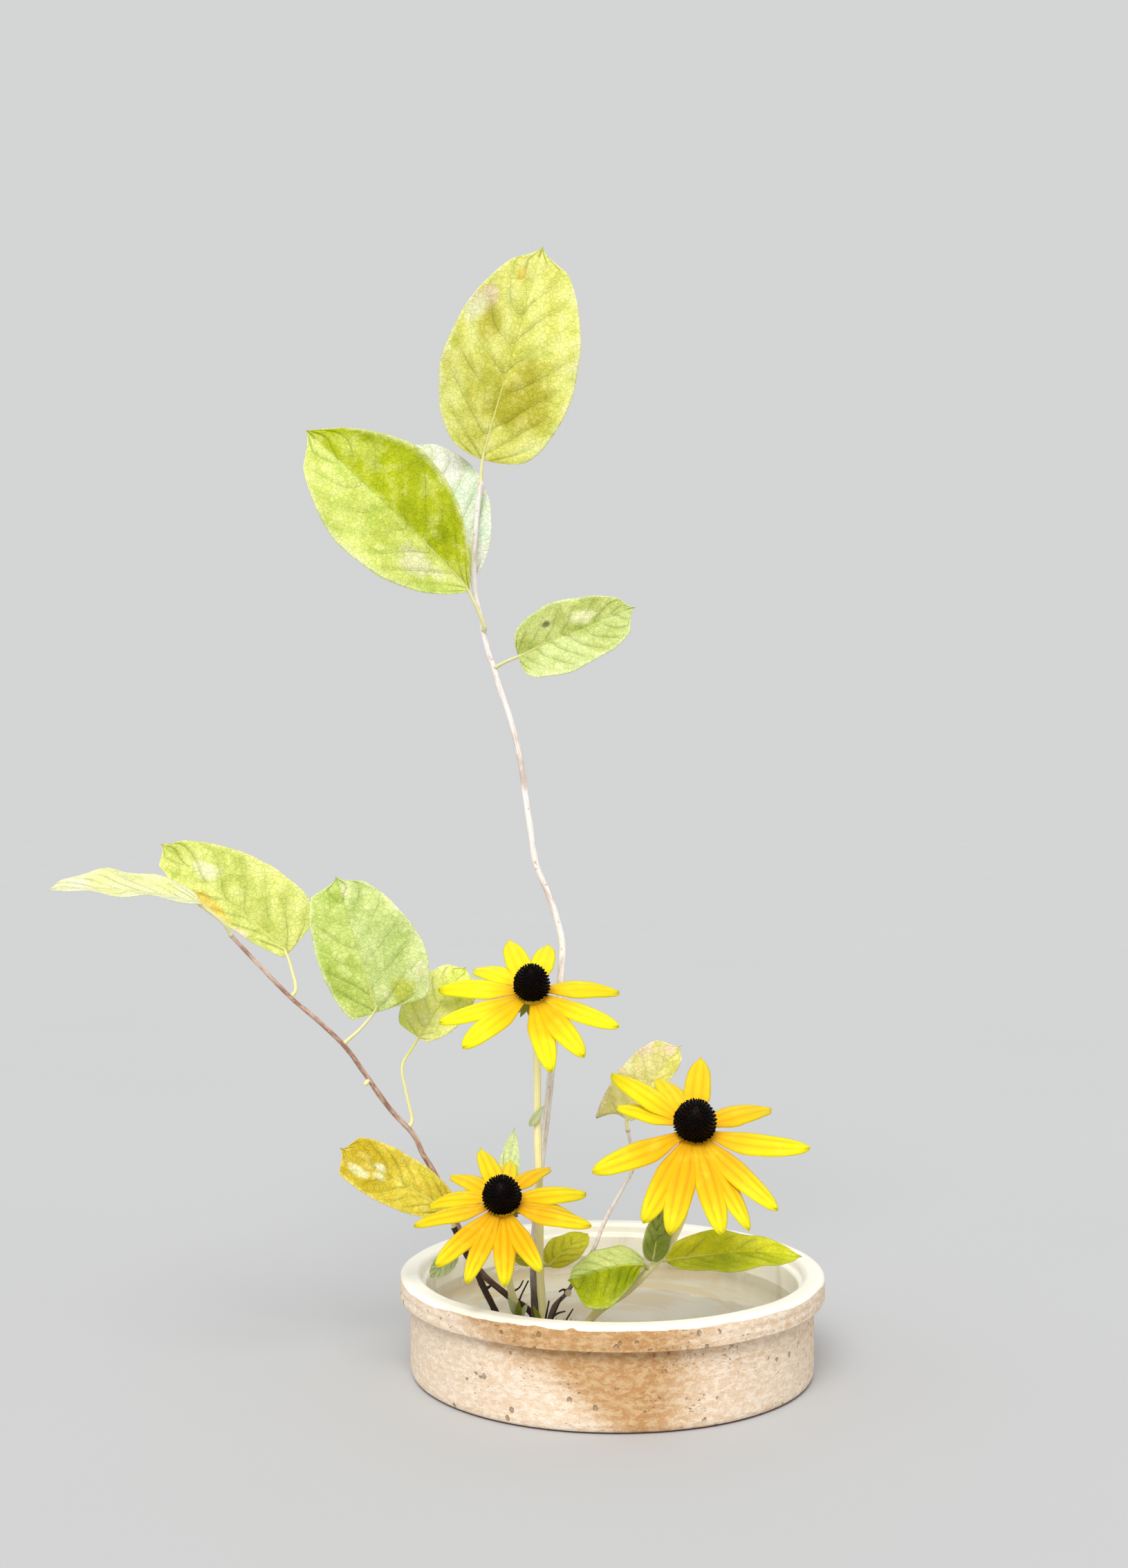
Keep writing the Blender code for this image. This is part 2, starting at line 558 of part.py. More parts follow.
def build_water(routes):
    """Water round the pin holder: pocketed for it, and with a plain hole for each stem."""
    fillet = FILLET
    radius = INNER_RADIUS - WATER_GAP
    profile = [(0, WATER_LEVEL), (radius, WATER_LEVEL)]
    profile += arc((radius - fillet, FLOOR_TOP + WATER_GAP + fillet), fillet, 0, -90, 4)
    profile += [(0, FLOOR_TOP + WATER_GAP)]
    water = turned("water", profile, material("clear_water", WATER, 0.1))
    bm = bmesh.new()
    low, high = FLOOR_TOP - 3, PIN_TOP + GAP
    bmesh.ops.create_cone(bm, cap_ends=True, segments=40, radius1=(HOLDER_RADIUS + 0.5) * MM,
                          radius2=(HOLDER_RADIUS + 0.5) * MM, depth=(high - low) * MM)
    bmesh.ops.translate(bm, vec=mm((*HOLDER_CENTRE, (low + high) / 2)), verts=bm.verts)
    tools = [mesh_object("pocket", bm)]
    for name, (route, radii) in routes.items():
        reach = [point for point in route if point.z < (WATER_LEVEL + 14) * MM]
        widths = [radius + 0.4 for radius in radii[:len(reach)]]
        tools.append(tube_mesh(name + "_hole", reach, widths, 2))
    combine(water, tools, "DIFFERENCE", "EXACT")
    return water


def pin_is_clear(x, y, routes):
    """Whether a pin here would stay clear of every stem that is pressed into the holder."""
    for route, radii in routes.values():
        for first, second in zip(route, route[1:]):
            for step in range(8):
                point = first.lerp(second, step / 8) / MM
                near = math.hypot(point.x - x, point.y - y) < max(radii) + PIN_RADIUS + 1.2
                if near and point.z < PIN_TOP + 2:
                    return False
    return True


def build_pin_holder(routes):
    """Kenzan: a heavy round base set with upright pins, which part where the stems stand."""
    finish = material("lead", LEAD, 0.5, 0.7)
    bm = bmesh.new()
    bmesh.ops.create_cone(bm, cap_ends=True, segments=36, radius1=HOLDER_RADIUS * MM,
                          radius2=(HOLDER_RADIUS - 0.6) * MM, depth=HOLDER_BASE * MM)
    bmesh.ops.translate(bm, vec=mm((*HOLDER_CENTRE, HOLDER_BOTTOM + HOLDER_BASE / 2)), verts=bm.verts)
    base = mesh_object("pin_holder", bm, finish)
    pins = []
    rows = int(HOLDER_RADIUS / PIN_PITCH) + 1
    root = 1.5
    for row in range(-rows, rows + 1):
        for column in range(-rows, rows + 1):
            x = (column + 0.5 * (row % 2)) * PIN_PITCH
            y = row * PIN_PITCH * math.sqrt(3) / 2
            if math.hypot(x, y) > HOLDER_RADIUS - 2.5:
                continue
            x, y = x + HOLDER_CENTRE[0], y + HOLDER_CENTRE[1]
            if not pin_is_clear(x, y, routes):
                continue
            bm = bmesh.new()
            bmesh.ops.create_cone(bm, cap_ends=True, segments=5, radius1=PIN_RADIUS * MM,
                                  radius2=0.2 * MM, depth=(PIN_LENGTH + root) * MM)
            middle = HOLDER_TOP + (PIN_LENGTH - root) / 2
            bmesh.ops.translate(bm, vec=mm((x, y, middle)), verts=bm.verts)
            pins.append(mesh_object(f"pin_{len(pins)}", bm, finish))
    combine(base, pins)
    return base


def build_branches():
    """The woody stems, each a smooth tapering tube. Returns their routes and radii."""
    routes = {}
    for name, colour in BRANCH_COLOURS.items():
        stem = STEMS[name]
        route = smooth_route(stem_points(stem), STEM_SPACING * MM)
        radii = taper(stem, len(route))
        tube(name, route, radii, 2, material(name + "_bark", colour, 0.8))
        routes[name] = (route, radii)
    return routes


def main():
    routes = build_branches()
    green = material("flower_stem_green", FLOWER_STEM, 0.6)
    yellow = material("petal_yellow", PETAL_YELLOW, 0.55)
    brown = material("disc_brown", DISC_BROWN, 0.9)
    for flower in FLOWERS:
        routes[flower.name] = build_flower_stem(flower, STEMS[flower.name], green)
        build_petals(flower, yellow)
        build_disc(flower, brown)
    for leaf in LEAVES:
        build_leaf(leaf, routes)
    build_pin_holder(routes)
    build_water(routes)
    build_bowl()


for old in list(bpy.data.objects):
    remove(old)
parts = bpy.data.collections.new("Ikebana_arrangement")
cutters = bpy.data.collections.new("Cutters")
bpy.context.scene.collection.children.link(parts)
bpy.context.scene.collection.children.link(cutters)
main()
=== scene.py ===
"""Looks of the ikebana arrangement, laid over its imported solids.

Laid out as a Blender add-on and run as a script. Each operator builds one piece, or one
group of like pieces, and the stage has an operator of its own. Lengths in the tables are in
millimetres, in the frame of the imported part: the origin is the middle of the bowl's base,
+Z is up and the arrangement faces -Y.
"""

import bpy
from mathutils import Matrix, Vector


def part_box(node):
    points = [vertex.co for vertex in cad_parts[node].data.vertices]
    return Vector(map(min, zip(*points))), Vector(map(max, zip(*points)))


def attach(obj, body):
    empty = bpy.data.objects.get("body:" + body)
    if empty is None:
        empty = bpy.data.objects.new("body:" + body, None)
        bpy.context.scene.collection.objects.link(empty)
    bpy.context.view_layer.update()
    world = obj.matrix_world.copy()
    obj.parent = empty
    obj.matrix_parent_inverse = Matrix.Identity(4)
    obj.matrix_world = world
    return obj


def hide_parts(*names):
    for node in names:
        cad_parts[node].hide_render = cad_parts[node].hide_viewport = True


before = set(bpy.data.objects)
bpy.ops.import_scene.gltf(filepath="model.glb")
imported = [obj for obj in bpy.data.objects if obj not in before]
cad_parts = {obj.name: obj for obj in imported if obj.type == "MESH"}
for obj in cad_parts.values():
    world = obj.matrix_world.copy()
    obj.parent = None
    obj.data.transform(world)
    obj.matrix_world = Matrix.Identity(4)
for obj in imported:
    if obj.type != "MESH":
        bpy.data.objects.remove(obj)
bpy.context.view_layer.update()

import math
import random
from typing import NamedTuple

import bpy
from mathutils import Matrix, Vector, noise

bl_info = {
    "name": "Ikebana arrangement",
    "version": (1, 0, 0),
    "blender": (4, 5, 0),
    "location": "3D View > Sidebar > Ikebana",
    "description": "Builds the bowl, water, branches, leaves and flowers of an arrangement",
    "category": "Object",
}

MM = 0.001


class Stem(NamedTuple):
    """A twig or flower stem: points from its cut end upwards, and its two radii."""
    points: tuple
    foot_radius: float
    tip_radius: float


class Leaf(NamedTuple):
    """A blade from base to tip, its upper face towards facing, on a stalk from its stem.

    left and right hold half width, powers of the outline at base and tip, and how far the
    edge reaches back past the base, for each side as seen from above with the tip up.
    colours holds a deep and a light one for the left half, then for the right half; the halves'
    difference is partly painted light and shade.
    """
    name: str                   # starts with the name of its stem
    base: tuple
    tip: tuple
    facing: tuple
    left: tuple
    right: tuple
    arch: float                 # rise of the midrib's middle
    fold: float                 # degrees that each half is raised
    wave: float                 # rise of the margin's waves
    stalk: tuple                # points that the stalk passes on its way to the base
    veins: int                  # pairs of side veins
    colours: tuple
    margin: tuple
    marks: tuple = ()           # (t, v, size, colour) of each patch

    @property
    def stem(self):
        return "_".join(self.name.split("_")[:2])


class Flower(NamedTuple):
    """A coneflower head: centre of its petal ring, how its axis points, and its petals."""
    name: str
    centre: tuple
    tilt: float                 # degrees that the axis stands up from facing -Y
    lean: float                 # degrees that it leans to the right
    disc_radius: float
    disc_height: float
    disc_point: float           # how pointed the disc's top is
    petal_width: float
    gold: float                 # how far gold spreads from the petals' roots and grooves
    petals: tuple               # (azimuth, droop, length) of each


def screen(red, green, blue):
    """A colour as it looks on a screen, 0 to 255 a channel, made linear."""
    return tuple((channel / 255) ** 2.2 for channel in (red, green, blue))


def in_linear_colour(leaf):
    """A leaf whose colours were given as they look on a screen."""
    return leaf._replace(
        colours=tuple(screen(*colour) for colour in leaf.colours), margin=screen(*leaf.margin),
        marks=tuple((t, v, size, screen(*colour)) for t, v, size, colour in leaf.marks))


STEMS = {
    "tall_branch": Stem(( (-33, -43, 14.7), (-34, -40.5, 38), (-34.5, -36, 52), (-34, -32, 69),
        (-32.8, -29, 86), (-30.5, -25.5, 106), (-28.7, -23, 121), (-26.9, -20, 138),
        (-25, -18, 152), (-23.5, -16, 165), (-23, -15, 177), (-22.2, -13, 190), (-24.5, -12, 201),
        (-29, -10, 214), (-34, -9, 226), (-36.3, -8, 240), (-38.5, -7.5, 255), (-41.5, -6, 275),
        (-46, -5, 292), (-50.5, -4, 305), (-53, -3, 313), (-56, -2, 322), (-58.5, -2, 334),
        (-61, -1, 345), (-62, 0, 356), (-61.5, 1, 370), (-60.3, 2, 386), (-58.9, 3, 397)), 1.75,
        1.15),
    "left_branch": Stem(( (-30.5, -30.5, 14.7), (-35.5, -33, 33), (-46, -36, 42),
        (-59.5, -33, 54), (-70, -31, 77), (-77, -30, 92), (-82, -32, 101), (-86.5, -35, 111),
        (-95.5, -40, 122), (-104.5, -45, 136), (-113.5, -50, 150), (-124.5, -53, 161.5),
        (-136, -56, 172), (-149, -59, 186), (-160.5, -62, 199)), 1.4, 0.8),
    "short_branch": Stem(( (-41.5, -43.5, 14.7), (-46, -46, 27), (-51.3, -46, 39),
        (-55.5, -44.5, 47), (-60, -43, 56), (-64.5, -42, 63.5), (-68.5, -42, 72.5)), 1.5, 1.2),
    "right_twig": Stem(( (-29.5, -38.5, 14.7), (-28.5, -35.5, 28), (-26, -33, 36),
        (-20.5, -29, 41), (-15, -25, 48.5), (-9, -20, 57), (-4, -14.5, 68), (0, -11.5, 75),
        (5, -8.5, 83), (9.3, -6, 91), (9, -5, 98), (7.8, -4.2, 102.5), (6.8, -4, 107.5)), 1.0,
        0.75),
    "top_flower": Stem(( (-29.2, -47.5, 14.7), (-30.5, -46, 35), (-31.8, -44, 55),
        (-31.9, -42.5, 77), (-32.4, -41, 95), (-32.9, -40, 115), (-33.2, -38.5, 148),
        (-34.6, -39, 160)), 1.6, 1.5),
    "right_flower": Stem(( (-22.5, -44.5, 14.7), (-17, -45.5, 25), (-9.4, -46, 35.5),
        (-3.2, -47, 41), (5, -48.5, 47), (13, -51, 55.5), (20.7, -53.5, 65), (28, -56.5, 80),
        (31, -58, 97), (31.2, -60, 107)), 1.7, 1.5),
    "lower_flower": Stem(( (-37.5, -46.5, 14.7), (-39.5, -47.5, 30), (-41.2, -49, 40),
        (-43.3, -52, 46), (-44.8, -58, 56), (-46, -64.5, 68), (-46.4, -69, 79)), 1.5, 1.4)}

WHITE_MARK = (246, 244, 196)
OLIVE_MARK = (198, 190, 60)
AMBER_MARK = (238, 208, 92)
PINK_MARK = (250, 226, 196)

# Colours here are as they look on a screen, 0 to 255 a channel. A lighter and a deeper half on one
# leaf is partly painted light and shade of its fold.
LEAVES = tuple(in_linear_colour(leaf) for leaf in (
    Leaf("tall_branch_top_leaf", (-58.4, 3, 407.5), (-31, -4, 501), (0.1, -0.95, 0.2),
         (29.5, 0.5, 0.72, 2), (31.5, 0.37, 0.57, 2), 4, 10, 1.0, ((-58.8, 3, 402),), 6,
         ((208, 206, 84), (240, 240, 146)) * 2, (252, 252, 186), ((0.7, 0.74, 0.1, PINK_MARK),
         (0.64, 0.82, 0.08, WHITE_MARK), (0.86, 0.36, 0.06, AMBER_MARK),
         (0.3, -0.3, 0.22, OLIVE_MARK), (0.6, 0.45, 0.11, (214, 206, 86)))),
    Leaf("tall_branch_front_leaf", (-63.5, -8, 347.5), (-132.5, -34, 413.5), (0.25, -0.95, 0.2),
         (31.5, 0.8, 0.72, 0), (28, 1.05, 0.95, 0), 4, 12, 1.2, ((-56.8, -5, 331),
         (-60.2, -7, 339.5)), 6, ((196, 208, 84), (226, 236, 134), (164, 176, 0), (196, 206, 36)),
         (246, 252, 186), ((0.8, -0.5, 0.14, (222, 232, 96)), (0.25, 0.4, 0.14, WHITE_MARK))),
    Leaf("tall_branch_back_leaf", (-63, 5.5, 353), (-93.5, 16, 417), (0, -0.95, 0.3),
         (20, 0.5, 0.6, 0), (23, 0.75, 0.7, 0), 4, 8, 1.0, ((-61.8, 3.5, 347),), 6,
         ((224, 240, 220), (248, 252, 240)) * 2, (254, 253, 246),
         ((0.12, -0.2, 0.16, (226, 232, 104)), (0.92, 0.5, 0.07, PINK_MARK))),
    Leaf("tall_branch_side_leaf", (-41.7, -8, 318), (9.5, -22, 338.5), (0.1, -0.93, 0.35),
         (15.5, 0.32, 0.62, 1), (18.3, 0.35, 0.42, 1), 2.5, 8, 0.8, ((-47, -6, 316),), 6,
         ((172, 182, 86), (200, 209, 128), (186, 198, 110), (220, 230, 162)), (242, 248, 196),
         ((0.6, 0.35, 0.12, WHITE_MARK), (0.3, 0.5, 0.045, (40, 26, 12)))),
    Leaf("left_branch_tip_leaf", (-171, -70, 212.5), (-227, -96, 219.3), (0.05, -0.22, 0.97),
         (18, 0.45, 0.7, 2), (20, 0.45, 0.7, 2), 3, 8, 1.0, ((-163, -66, 204.5),), 6,
         ((244, 247, 168), (254, 254, 212)) * 2, (255, 255, 228)),
    Leaf("left_branch_second_leaf", (-138.7, -44, 189.5), (-194.8, -36, 235.8), (0.3, -0.85, 0.1),
         (10.5, 0.6, 0.35, 4), (24, 0.27, 0.75, 4), 3, 12, 0.8, ((-134.5, -51.5, 175),
         (-136.5, -48, 182)), 5, ((202, 210, 106), (228, 232, 138)) * 2, (246, 246, 168),
         ((0.55, 0.62, 0.13, AMBER_MARK), (0.44, 0.75, 0.1, AMBER_MARK),
         (0.28, 0.9, 0.07, PINK_MARK), (0.68, -0.2, 0.12, WHITE_MARK))),
    Leaf("left_branch_third_leaf", (-101, -44, 164.5), (-119, -40, 222), (0, -0.97, 0.2),
         (17.5, 0.28, 0.3, 4), (27.5, 0.22, 0.57, 4), 3, 8, 1.0, ((-107, -45.5, 158.5),), 5,
         ((182, 200, 94), (204, 218, 126), (192, 208, 124), (212, 224, 152)), (240, 246, 192),
         ((0.1, -0.5, 0.12, (214, 218, 96)), (0.2, -0.85, 0.07, WHITE_MARK),
         (0.88, -0.15, 0.06, WHITE_MARK))),
    Leaf("left_branch_fourth_leaf", (-84.5, -28, 151.5), (-64.5, -22, 181.5), (0, -0.97, 0.2),
         (14.5, 0.28, 0.5, 2), (12.7, 0.6, 0.5, 2), 2, 6, 0.6, ((-87, -33.5, 117),
         (-89.3, -32.5, 127), (-91.5, -31, 139), (-88, -29, 146)), 5, ((228, 246, 120),
         (244, 253, 150)) * 2, (242, 248, 190)),
    Leaf("short_branch_leaf", (-70.5, -43.5, 79.5), (-116.5, -48, 107.5), (0.1, -0.9, 0.35),
         (12, 0.5, 0.3, 1), (11.5, 0.33, 0.34, 1), 2.5, 6, 0.6, ((-69.8, -43, 76.5),), 6,
         ((202, 176, 38), (230, 210, 80)) * 2, (246, 230, 140), ((0.78, 0.42, 0.1, WHITE_MARK),
         (0.65, -0.1, 0.07, WHITE_MARK), (0.62, 0.2, 0.06, WHITE_MARK))),
    Leaf("short_branch_small_leaf", (-67.5, -41, 62), (-79, -36, 49.5), (0.1, -0.95, 0.3),
         (4.5, 0.5, 0.7, 0), (4.5, 0.5, 0.7, 0), 1, 6, 0, (), 4, ((160, 172, 122),
         (198, 204, 160)) * 2, (220, 222, 180)),
    Leaf("right_twig_leaf", (6, -4, 112), (30.5, -6, 145), (-0.2, -0.9, 0.3),
         (14.5, 0.22, 0.34, 14), (7.5, 0.5, 0.45, 1), 4, 18, 1.0, ((6.3, -4, 110),), 5,
         ((214, 206, 130), (239, 229, 162), (212, 206, 100), (240, 230, 150)), (252, 238, 216),
         ((0.93, 0.3, 0.14, PINK_MARK), (0.72, 0.9, 0.12, PINK_MARK))),
    Leaf("top_flower_leaf", (-28.3, -41.5, 56), (-11, -22, 65), (0, -0.6, 0.8),
         (7.5, 0.4, 0.75, 0), (8, 0.4, 0.75, 0), 1.5, 10, 0.5, (), 4, ((174, 172, 14),
         (208, 206, 46)) * 2, (220, 218, 96)),
    Leaf("top_flower_small_leaf", (-35.8, -44.5, 57), (-48, -35, 64), (0, -0.6, 0.8),
         (4, 0.45, 0.75, 0), (4.5, 0.45, 0.75, 0), 1, 8, 0.3, (), 4, ((150, 152, 30),
         (190, 190, 60)) * 2, (206, 206, 100)),
    Leaf("right_flower_front_leaf", (12.5, -54.5, 59.9), (-20, -62, 55), (-0.1, -0.61, 0.79),
         (17.5, 1.1, 0.5, 0), (13, 0.3, 0.6, 0), 3, -12, 0.8, (), 5, ((128, 146, 0),
         (178, 188, 6), (186, 210, 114), (220, 232, 146)), (206, 222, 120)),
    Leaf("right_flower_upright_leaf", (15.5, -56, 61.5), (18.6, -60.5, 86), (0.15, -0.95, 0.2),
         (6, 0.5, 0.8, 0), (6, 0.5, 0.8, 0), 1.5, 14, 0.4, (), 4, ((132, 148, 58),
         (182, 190, 98)) * 2, (196, 204, 122)),
    Leaf("right_flower_side_leaf", (21.5, -49, 60), (82, -24, 55.5), (0, -0.55, 0.85),
         (12, 0.5, 0.8, 0), (12, 0.5, 0.8, 0), 3.5, 8, 0.8, (), 5, ((208, 210, 8), (240, 238, 54),
         (182, 194, 0), (226, 232, 36)), (226, 226, 92)),
    Leaf("lower_flower_leaf", (-49, -54, 64), (-43, -30, 113), (0, -0.97, 0.2),
         (6.5, 0.5, 0.75, 0), (5.5, 0.5, 0.75, 0), -5, 8, 0.3, (), 4, ((204, 222, 152),
         (230, 240, 188)) * 2, (240, 246, 210))))

FLOWERS = (
    Flower("top_flower", (-35.2, -45.8, 173.2), 50, 0, 7.6, 14, 0.35, 10.5, 0.78, (
        (79, 13, 42), (107, 11, 42), (132, 20, 42), (168, 7, 42), (-155, -6, 43), (-132, -5, 43),
        (-79, 0, 42), (-58, -3, 42), (-30, -3, 42), (20, 17, 42))),
    Flower("right_flower", (31.7, -67.4, 118.7), 50, 8, 8.8, 14.8, 0.1, 11.5, 1.22, (
        (41, 15, 48), (87, 9, 49), (110, 17, 42), (137, 10, 49), (148, 20, 39), (-143, -2, 49),
        (-110, 5, 49), (-97, 5, 49), (-72, 4, 49), (-58, 4, 49), (-43, 0, 49), (-10, -13, 49))),
    Flower("lower_flower", (-46.7, -75.8, 90.4), 50, -3, 7.8, 13.0, 0.1, 9, 1.35, (
        (20, 17, 38), (58, 22, 38), (86, 24, 38), (103, 12, 39), (129, 21, 38), (157, 23, 38),
        (-172, 4, 37), (-134, -3, 39), (-114, 0, 39), (-88, -3, 39), (-69, -7, 39),
        (-25, -6, 39), (-2, 24, 37))),
)

# Parts of a head: heights along its axis from the middle of its petals, and radii
RING_TOP = 0.7
RING_BOTTOM = -1.3
RING_RADIUS = 6.5
CUP_TOP = -1.6
CUP_BOTTOM = -6.5
PETAL_ROOT = 4.0                # how far from the axis a petal starts
SEPAL_ROOT = 3.3
SEPAL_THICKNESS = 0.4           # and that of a shoot
GROOVE = 0.36                   # where a petal's two grooves run, as a share of its half width
SEPALS = 14
CONE_BEND = math.radians(112)   # from the cone's top down to its rim

BOWL_FLOOR = 6.0
BOWL_FILLET = 7.0               # between the floor and the wall inside
HOLDER_CENTRE = (-30.0, -40.0)
HOLDER_BOTTOM = 6.3
HOLDER_TOP = 14.3
HOLDER_RADIUS = 25.5
PIN_LENGTH = 12.0
PIN_SUNK = 1.5                  # length of a pin inside the base
PIN_PITCH = 3.3
PIN_CLEARANCE = 2.3             # from a stem's middle to the nearest pin
PIN_MARGIN = 1.8                # from the outer pins to the base's edge

LARGE_LEAF = 45.0               # blades from this length up get the finer grid
FINE_GRID = (96, 56)
COARSE_GRID = (44, 26)
BUD_PLACE = (-105.2, -45.8, 134.8)
BUD_DIRECTION = (-0.55, -0.2, -0.8)
BUD_RADIUS = 1.25

CAMERA_PLACE = (-0.0216, -0.854, 0.2614)        # in metres, facing +Y
SKY = (0.97, 0.975, 0.98, 1)
SKY_STRENGTH = 0.68
# Name, where it comes from, the setting of its strength, spread in degrees, and colour
SUNS = (
    ("key_light", (-0.12, -0.68, 0.72), "key", 32, (1.0, 0.985, 0.96)),
    ("left_light", (-0.86, -0.45, 0.25), "fill", 70, (1, 1, 1)),
    ("right_light", (0.86, -0.45, 0.25), "fill", 70, (1, 1, 1)),
)

COLOUR = {"min": 0, "max": 1, "size": 3, "subtype": "COLOR"}


class BowlSettings(bpy.types.PropertyGroup):
    """The bowl's sizes and glazes."""
    rim_radius: bpy.props.FloatProperty(
        name="Rim radius", description="Outer radius of the rim collar",
        default=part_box("bowl")[1].x, min=0.05, max=0.3, unit="LENGTH")
    height: bpy.props.FloatProperty(
        name="Height", description="Height of the rim above the table",
        default=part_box("bowl")[1].z, min=0.02, max=0.2, unit="LENGTH")
    inner_radius: bpy.props.FloatProperty(
        name="Inner radius", description="Radius of the inner wall",
        default=0.0828, min=0.04, max=0.28, unit="LENGTH")
    wall_radius: bpy.props.FloatProperty(
        name="Wall radius", description="Outer radius of the wall under the collar",
        default=0.0902, min=0.04, max=0.29, unit="LENGTH")
    clay: bpy.props.FloatVectorProperty(
        name="Clay", description="Main colour of the bare stoneware",
        default=screen(229, 205, 178), **COLOUR)
    warm_clay: bpy.props.FloatVectorProperty(
        name="Warm clay", description="Colour of the toasted patches",
        default=screen(217, 180, 137), **COLOUR)
    pale_clay: bpy.props.FloatVectorProperty(
        name="Pale clay", description="Colour of the pale crust on the wall",
        default=screen(245, 231, 212), **COLOUR)
    glaze: bpy.props.FloatVectorProperty(
        name="Glaze", description="Colour of the cream glaze on the rim and inside",
        default=screen(255, 252, 238), **COLOUR)


class WaterSettings(bpy.types.PropertyGroup):
    """The water in the bowl."""
    level: bpy.props.FloatProperty(
        name="Level", description="Height of the surface above the table",
        default=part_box("water")[1].z, min=0.01, max=0.1, unit="LENGTH")
    tint: bpy.props.FloatVectorProperty(
        name="Tint", description="Colour that the water gives to what lies in it",
        default=(0.995, 0.985, 0.94), **COLOUR)


class LeafSettings(bpy.types.PropertyGroup):
    """What all the leaves share."""
    thickness: bpy.props.FloatProperty(
        name="Thickness", description="Thickness of a leaf blade",
        default=0.0004, min=0.0001, max=0.002, unit="LENGTH")
    relief: bpy.props.FloatProperty(
        name="Relief", description="How far the blade swells between its side veins",
        default=0.0003, min=0, max=0.002, unit="LENGTH")
    roughness: bpy.props.FloatProperty(
        name="Roughness", description="Roughness of the upper face",
        default=0.42, min=0, max=1, subtype="FACTOR")


class FlowerSettings(bpy.types.PropertyGroup):
    """What the flower heads share."""
    thickness: bpy.props.FloatProperty(
        name="Petal thickness", description="Thickness of a ray petal",
        default=0.0004, min=0.0001, max=0.002, unit="LENGTH")
    petal: bpy.props.FloatVectorProperty(
        name="Petal", description="Colour of the outer part of the petals",
        default=screen(255, 255, 30), **COLOUR)
    petal_root: bpy.props.FloatVectorProperty(
        name="Petal root", description="Colour of the petals towards the disc",
        default=screen(255, 218, 12), **COLOUR)
    disc: bpy.props.FloatVectorProperty(
        name="Disc", description="Colour of the florets on the cone",
        default=screen(10, 4, 4), **COLOUR)
    florets: bpy.props.IntProperty(
        name="Florets", description="Number of florets on each cone", default=300, min=50, max=600)


class StageSettings(bpy.types.PropertyGroup):
    """Floor, camera and lights."""
    floor: bpy.props.FloatVectorProperty(
        name="Floor", description="Colour of the floor",
        default=(0.5225, 0.5275, 0.535), **COLOUR)
    key: bpy.props.FloatProperty(
        name="Key", description="Strength of the soft light from the front and above",
        default=2.5, min=0)
    fill: bpy.props.FloatProperty(
        name="Fill", description="Strength of the soft light from the front on each side",
        default=0.25, min=0)
    lens: bpy.props.FloatProperty(
        name="Lens", description="Focal length of the camera", default=43.75, min=10, max=200,
        unit="CAMERA")


SETTINGS = {
    "ikebana_bowl": BowlSettings,
    "ikebana_water": WaterSettings,
    "ikebana_leaf": LeafSettings,
    "ikebana_flower": FlowerSettings,
    "ikebana_stage": StageSettings,
}


class Wire:
    """A node's outlet. Sums, differences and products with it add maths nodes."""

    def __init__(self, recipe, socket):
        self.recipe, self.socket = recipe, socket

    def __add__(self, other):
        return self.recipe.maths("ADD", self, other)

    def __sub__(self, other):
        return self.recipe.maths("SUBTRACT", self, other)

    def __rsub__(self, other):
        return self.recipe.maths("SUBTRACT", other, self)

    def __mul__(self, other):
        return self.recipe.maths("MULTIPLY", self, other)

    def band(self, low, high):
        """0 at low and 1 at high, smooth between them. low may be the larger."""
        return self.recipe.node(
            "MapRange", 0, {"Value": self, "From Min": low, "From Max": high},
            interpolation_type="SMOOTHSTEP")


